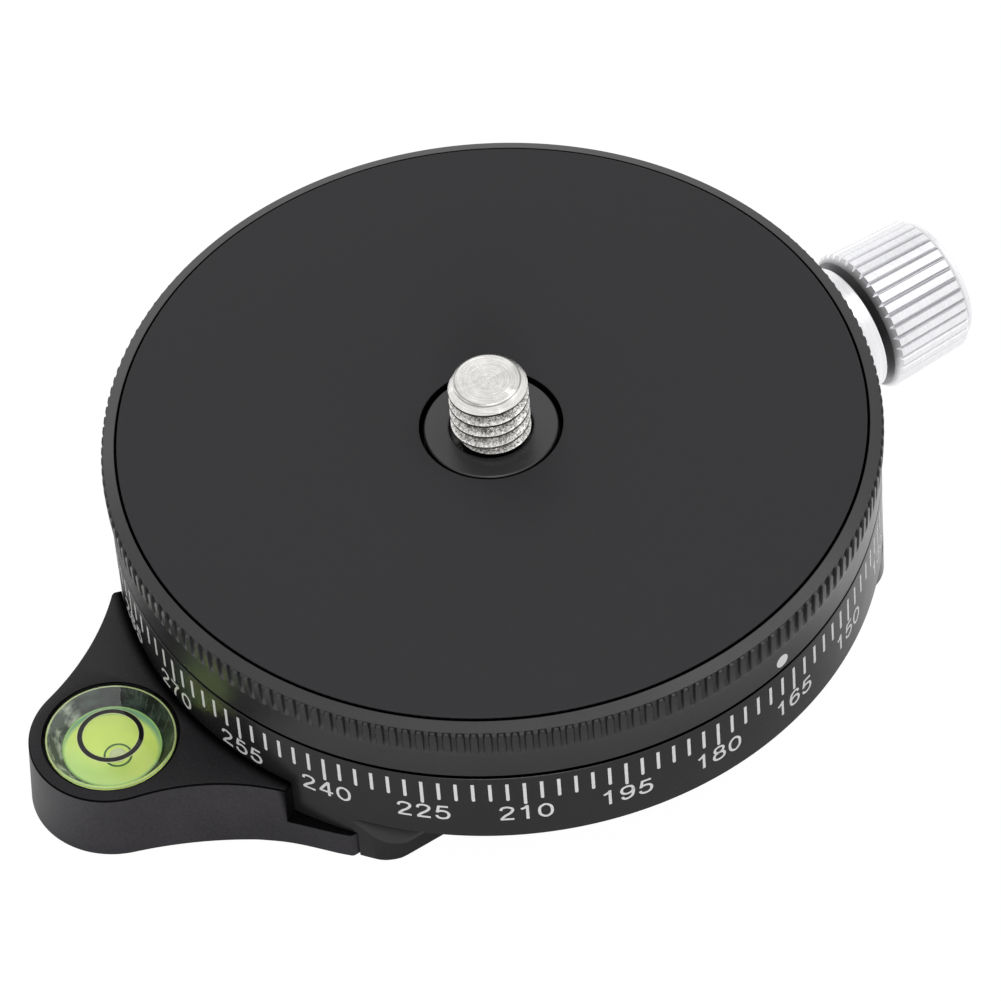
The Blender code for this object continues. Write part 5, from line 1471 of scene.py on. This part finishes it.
class TRIPOD_BASE_OT_level(BuildOperator):
    """Build the bull's-eye level: vial, fluid, bubble, target ring, plug and gasket"""

    bl_idname = "tripod_base.level"
    bl_label = "Level"

    def build(self, scene):
        sizes = scene.base_level
        radius, pool, high = sizes.radius, sizes.pool, sizes.pool_height
        low, shoulder = sizes.floor, sizes.shoulder
        line, gap = 0.00004, 0.00001

        def round_piece(name, profile, finish_name, slot, *nodes):
            mesh = moved(lathe(name, profile, SMALL_ROUND, sharp=SOFT), LEVEL_CENTRE)
            place(name, mesh, finish_name, "base", slot, *nodes)

        outside = dome(radius - 0.00012, shoulder + 0.00006, sizes.dome, 14)
        round_piece("vial", [*outside, (radius, shoulder - 0.00006), (radius, low),
                             (0, low)],
                    "vial_acrylic", "clear_acrylic", "level_vial")
        plug_top, plug_low = low + 0.00115, low + 0.0001
        round_piece("vial_fluid", [(0, high), (pool, high, 0.00006), (pool, plug_top),
                                   (0, plug_top)],
                    "vial_green", "level_fluid", "level_fluid")
        round_piece("vial_plug", [(0, plug_top - 0.00003), (pool, plug_top - 0.00003),
                                  (pool, plug_low), (0, plug_low)],
                    "acetal_white", "acetal", "level_plug")
        outer = radius - 0.00010
        round_piece("vial_wall", [(pool + 0.00002, high - 0.0001), (pool + 0.00012, high),
                                  (outer, shoulder - 0.00035), (outer, high - 0.0001)],
                    "vial_wall", "clear_acrylic")
        rim, rise = outer + 0.00002, shoulder - 0.00022
        round_piece("vial_rim", ring_section(rim - 0.00010, rim, rise, rise + 0.00005),
                    "rim_pale", "clear_acrylic")
        inner, outer, level = sizes.ring_inner, sizes.ring_outer, sizes.ring_height
        round_piece("target_ring", ring_section(inner, outer, level, level + line),
                    "ring_black", "seal_black")
        halo = sizes.ring_halo
        round_piece("ring_halo", ring_section(inner - halo, outer + halo, level - line,
                                              level - gap),
                    "halo_pale", "level_fluid")
        place("bubble", bubble_mesh(sizes), "bubble_air", "base", "level_fluid")
        low, high = BOX["level_seal"]
        round_piece("gasket", ring_section(radius + 0.00005, 0.00542, low.z,
                                           high.z - 0.00010),
                    "gasket_black", "seal_black", "level_seal")


class TRIPOD_BASE_OT_knob(BuildOperator):
    """Build the collar, the fluted lock knob and their screws"""

    bl_idname = "tripod_base.knob"
    bl_label = "Lock knob"

    def build(self, scene):
        sizes = scene.base_knob
        low, high = BOX["knob_collar"]
        radius, nose, shoulder = sizes.collar_radius, 0.0040, 0.0300
        collar = lathe("collar", [
            (ROD_HOLE, low.x), (nose, low.x), (nose, shoulder), (radius, shoulder, 0.0001),
            (radius, high.x, 0.00030), (ROD_HOLE, high.x, 0.0001)])
        place("collar", on_knob_line(collar), "silver_collar", "base", "silver_anodised",
              "knob_collar")
        barrel = repeated("knob", knob_sector(sizes), "silver_knob", sizes.flute_count)
        place("knob", on_knob_line(barrel), "silver_knob", "knob", "silver_anodised",
              "lock_knob")

        low, high = BOX["lock_screw"]
        radius, lead = 0.0025, 0.0008
        rod = threaded_rod("clamp_screw", radius + 0.00002, lead, 0.00045, low.x, high.x,
                           48)
        blank = lathe("blank", [(0, low.x), (radius, low.x, 0.0004), (radius, high.x),
                                (0, high.x)], 48)
        place("clamp_screw", on_knob_line(carved(rod, ("INTERSECT", blank), sharp=SOFT)),
              "screw_grey", "knob", "screw_steel", "lock_screw")

        low, high = BOX["knob_screw"]
        seat, shank, head, soft = high.x - CAP_HEAD, 0.00125, 0.0026, 0.0002
        body = lathe("knob_cap_screw", [
            (0, low.x), (shank, low.x, soft), (shank, seat), (head, seat),
            (head, high.x, soft), (0, high.x)], 64)
        socket = hexagon_prism("socket", 0.0015, high.x - 0.0012, high.x + OVERRUN)
        place("knob_cap_screw", on_knob_line(carved(body, socket)), "screw_grey", "knob",
              "screw_steel", "knob_screw")


class TRIPOD_BASE_OT_underside(BuildOperator):
    """Build the foot plate, its screws and the threaded bushing"""

    bl_idname = "tripod_base.underside"
    bl_label = "Underside"

    def build(self, scene):
        low, high = BOX["socket_plate"]
        bottom, top = low.z, low.z + 0.0014
        plate = prism("foot_plate", plate_outline(0.0153, 0.0192), bottom, top, 0.00015)
        boss_radius, mouth, socket = 0.0072, 0.0055, 0.0047625
        boss = lathe("boss", [(0, bottom + 0.0005), (boss_radius, bottom + 0.0005),
                              (boss_radius, high.z, 0.0002), (0, high.z)], SMALL_ROUND)
        bore = lathe("bore", [(0, bottom - OVERRUN), (mouth, bottom - OVERRUN),
                              (mouth, bottom), (socket, bottom + 0.0006),
                              (socket, high.z + OVERRUN), (0, high.z + OVERRUN)],
                     SMALL_ROUND)
        face, circle = bottom + SEAT_GAP, 0.0162
        sinks = [countersink(PLATE_SCREW, face, 0.003,
                             polar(circle, math.pi / 4 + quarter * math.pi / 2, 0))
                 for quarter in range(4)]
        place("foot_plate", carved(plate, ("UNION", boss), bore, *sinks),
              "stainless_turned", "base", "stainless", "socket_plate")
        screw = countersunk_screw("plate_screw", PLATE_SCREW, face, 0.0045)
        screws = repeated("foot_plate_screws", moved(screw, (circle, 0, 0)), "screw_grey",
                          4, math.pi / 4)
        place("foot_plate_screws", screws, "screw_grey", "base", "screw_steel",
              "plate_screw_1", "plate_screw_2", "plate_screw_3", "plate_screw_4")

        low, high = BOX["reducer_bushing"]
        inner, outer, soft = 0.0022, 0.0046, 0.0002
        tube = lathe("bushing", [(inner, low.z, soft), (outer, low.z, soft),
                                 (outer, high.z, soft), (inner, high.z)], SMALL_ROUND)
        tap = threaded_rod("tap", 0.0032, TRIPOD_PITCH, 0.0007, low.z - 0.002,
                           high.z + 0.002)
        half, far = 0.0006, outer + OVERRUN
        slot = prism("slot", [(half, -far), (half, far), (-half, far), (-half, -far)],
                     low.z - OVERRUN, low.z + 0.0010)
        place("bushing", carved(tube, slot, tap, sharp=SOFT), "brass_turned", "base",
              "brass", "reducer_bushing")


class TRIPOD_BASE_OT_hidden(BuildOperator):
    """Finish the CAD nodes that lie inside the product"""

    bl_idname = "tripod_base.hidden"
    bl_label = "Inner pieces"

    def build(self, scene):
        finishes = {"spindle": "stainless_turned", "spindle_screw_1": "screw_grey",
                    "spindle_screw_2": "screw_grey", "spindle_screw_3": "screw_grey",
                    "thrust_washer": "acetal_white", "glide_ring": "acetal_white",
                    "brake_shoe": "brass_turned"}
        for name, finish_name in finishes.items():
            node = frame["nodes"][name]
            node.material_slots[0].link = "OBJECT"
            node.material_slots[0].material = finish(finish_name)


# Stage

PHOTO_AZIMUTH = math.radians(-30.65)
PHOTO_ELEVATION = math.radians(49.00905)
PHOTO_ROLL = math.radians(-4.83039)
PHOTO_YAW = math.radians(-0.02242)
PHOTO_PITCH = math.radians(0.54447)
PHOTO_DISTANCE = 0.59956
PHOTO_TARGET = Vector((0, 0, 0.0175))
PHOTO_LENS = 272.86
SENSOR = 36


def rotation(axis, turn):
    """A right-handed turn about one axis of the camera."""
    first, second = ((1, 2), (2, 0), (0, 1))[axis]
    matrix = Matrix.Identity(3)
    matrix[first][first] = matrix[second][second] = math.cos(turn)
    matrix[first][second] = -math.sin(turn)
    matrix[second][first] = math.sin(turn)
    return matrix


def photo_camera(scene):
    """The camera at the photograph's place, with its small roll, pitch and yaw."""
    up, level_off = math.sin(PHOTO_ELEVATION), math.cos(PHOTO_ELEVATION)
    level = Matrix(((1, 0, 0), (0, -up, -level_off), (0, level_off, -up)))
    turned = rotation(2, PHOTO_ROLL) @ rotation(0, PHOTO_PITCH) @ rotation(1, PHOTO_YAW)
    about = Matrix.Rotation(PHOTO_AZIMUTH, 3, "Z")
    rows = turned @ level @ about.transposed()
    back = about @ Vector((0, -level_off, up))
    pose = Matrix((rows[0], -rows[1], -rows[2])).transposed().to_4x4()
    pose.translation = PHOTO_TARGET + back * PHOTO_DISTANCE
    data = bpy.data.cameras.new("photo_camera")
    data.lens = PHOTO_LENS
    data.sensor_width = SENSOR
    data.clip_start = 0.01
    data.clip_end = 50
    scene.camera = linked("photo_camera", data)
    scene.camera.matrix_world = pose


def soft_lamp(name, place_at, size, power):
    """A large soft lamp that faces the product."""
    data = bpy.data.lights.new(name, "AREA")
    data.shape = "RECTANGLE"
    data.size, data.size_y = size
    data.energy = power
    lamp = linked(name, data)
    lamp.location = place_at
    aim = Vector((0, 0, 0.01)) - Vector(place_at)
    lamp.rotation_euler = aim.to_track_quat("-Z", "Y").to_euler()
    lamp.visible_camera = False


def floor_finish(name):
    """Pale paper that the camera sees white and that two faces of the part mirror."""
    material, tree, shader = new_material(name)
    fill(tree, shader, Base_Color=(0.88, 0.88, 0.88), Roughness=0.9,
         Specular_IOR_Level=0.0)
    rays = tree.nodes.new("ShaderNodeLightPath").outputs
    glows = [eased(tree, dot(tree, object_place(tree), direction), near, far)
             for direction, near, far in (((0.93, 0.36, 0), 0.0, 0.024),
                                          ((-0.86, 0.51, 0), 0.034, 0.045))]
    shown = calc(tree, "MULTIPLY", rays["Is Glossy Ray"], calc(tree, "MAXIMUM", *glows))
    seen = calc(tree, "MULTIPLY_ADD", rays["Is Camera Ray"], 0.9, shown)
    show_both(tree, seen, shader, add(tree, "ShaderNodeEmission", {}, (1, 1, 1), 1.08))
    return material


def studio_world(name):
    """White where the camera looks, dimmer as light, and shaped in mirror images."""
    world = bpy.data.worlds.new(name)
    world.use_nodes = True
    tree = world.node_tree
    rays = tree.nodes.new("ShaderNodeLightPath").outputs
    seen = calc(tree, "MAXIMUM", rays["Is Camera Ray"], rays["Is Transmission Ray"])
    toward = tree.nodes.new("ShaderNodeTexCoord").outputs["Generated"]
    behind = eased(tree, dot(tree, toward, (0.334, 0.564, 0.755)), 0.70, 0.96, 1.05, 0.86)
    overhead = eased(tree, split(tree, toward)[2], 0.90, 1.0, 0.0, 0.55)
    mirrored = calc(tree, "ADD", behind, overhead)
    strength = calc(tree, "MAXIMUM", ramp(tree, seen, 0.0, 1.0, 0.34, 1.0),
                    calc(tree, "MULTIPLY", rays["Is Glossy Ray"], mirrored))
    fill(tree, tree.nodes["Background"], Color=(1, 1, 1), Strength=strength)
    return world


class TRIPOD_BASE_OT_stage(BuildOperator):
    """Build the floor, the light and the camera"""

    bl_idname = "tripod_base.stage"
    bl_label = "Stage"

    def build(self, scene):
        scene.view_settings.view_transform = "Standard"
        photo_camera(scene)
        bm = bmesh.new()
        bmesh.ops.create_grid(bm, x_segments=1, y_segments=1, size=6)
        bmesh.ops.translate(bm, verts=bm.verts, vec=(0, 0, -0.00005))
        mesh = bpy.data.meshes.new("floor")
        bm.to_mesh(mesh)
        bm.free()
        floor = linked("floor", mesh)
        mesh.materials.append(floor_finish("pale_floor"))
        scene.world = studio_world("studio")
        soft_lamp("key", (0.30, -0.10, 0.55), (0.35, 0.35), 0.45)
        soft_lamp("fill", (-0.28, -0.48, 0.24), (0.30, 0.30), 1.10)
        soft_lamp("back", (0.05, 0.50, 0.30), (0.40, 0.25), 0.30)


BUILD_ORDER = (
    TRIPOD_BASE_OT_platform, TRIPOD_BASE_OT_pad, TRIPOD_BASE_OT_stud, TRIPOD_BASE_OT_drum,
    TRIPOD_BASE_OT_scale, TRIPOD_BASE_OT_bracket, TRIPOD_BASE_OT_level,
    TRIPOD_BASE_OT_knob, TRIPOD_BASE_OT_underside, TRIPOD_BASE_OT_hidden,
    TRIPOD_BASE_OT_stage)
SETTINGS = {
    "base_platform": PlatformSizes, "base_stud": StudSizes, "base_drum": DrumSizes,
    "base_bracket": BracketSizes, "base_level": LevelSizes, "base_knob": KnobSizes,
    "base_finishes": Finishes}


class TRIPOD_BASE_PT_sidebar(bpy.types.Panel):
    """Lists the settings and the operators in the sidebar"""

    bl_idname = "TRIPOD_BASE_PT_sidebar"
    bl_label = "Tripod Base"
    bl_space_type = "VIEW_3D"
    bl_region_type = "UI"
    bl_category = "Tripod Base"

    def draw(self, context):
        for operator in BUILD_ORDER:
            self.layout.operator(operator.bl_idname)
        for name, group in SETTINGS.items():
            box = self.layout.box()
            box.label(text=group.__doc__)
            for key in group.__annotations__:
                box.prop(getattr(context.scene, name), key)


CLASSES = (*SETTINGS.values(), *BUILD_ORDER, TRIPOD_BASE_PT_sidebar)


def register():
    """Register the classes and hang the settings on the scene."""
    for item in CLASSES:
        bpy.utils.register_class(item)
    for name, group in SETTINGS.items():
        setattr(bpy.types.Scene, name, PointerProperty(type=group))


def unregister():
    """Take the settings and the classes away again."""
    for name in SETTINGS:
        delattr(bpy.types.Scene, name)
    for item in reversed(CLASSES):
        bpy.utils.unregister_class(item)


def main():
    """Register the classes and build every piece."""
    register()
    for operator in BUILD_ORDER:
        family, name = operator.bl_idname.split(".")
        getattr(getattr(bpy.ops, family), name)()


if __name__ == "__main__":
    main()
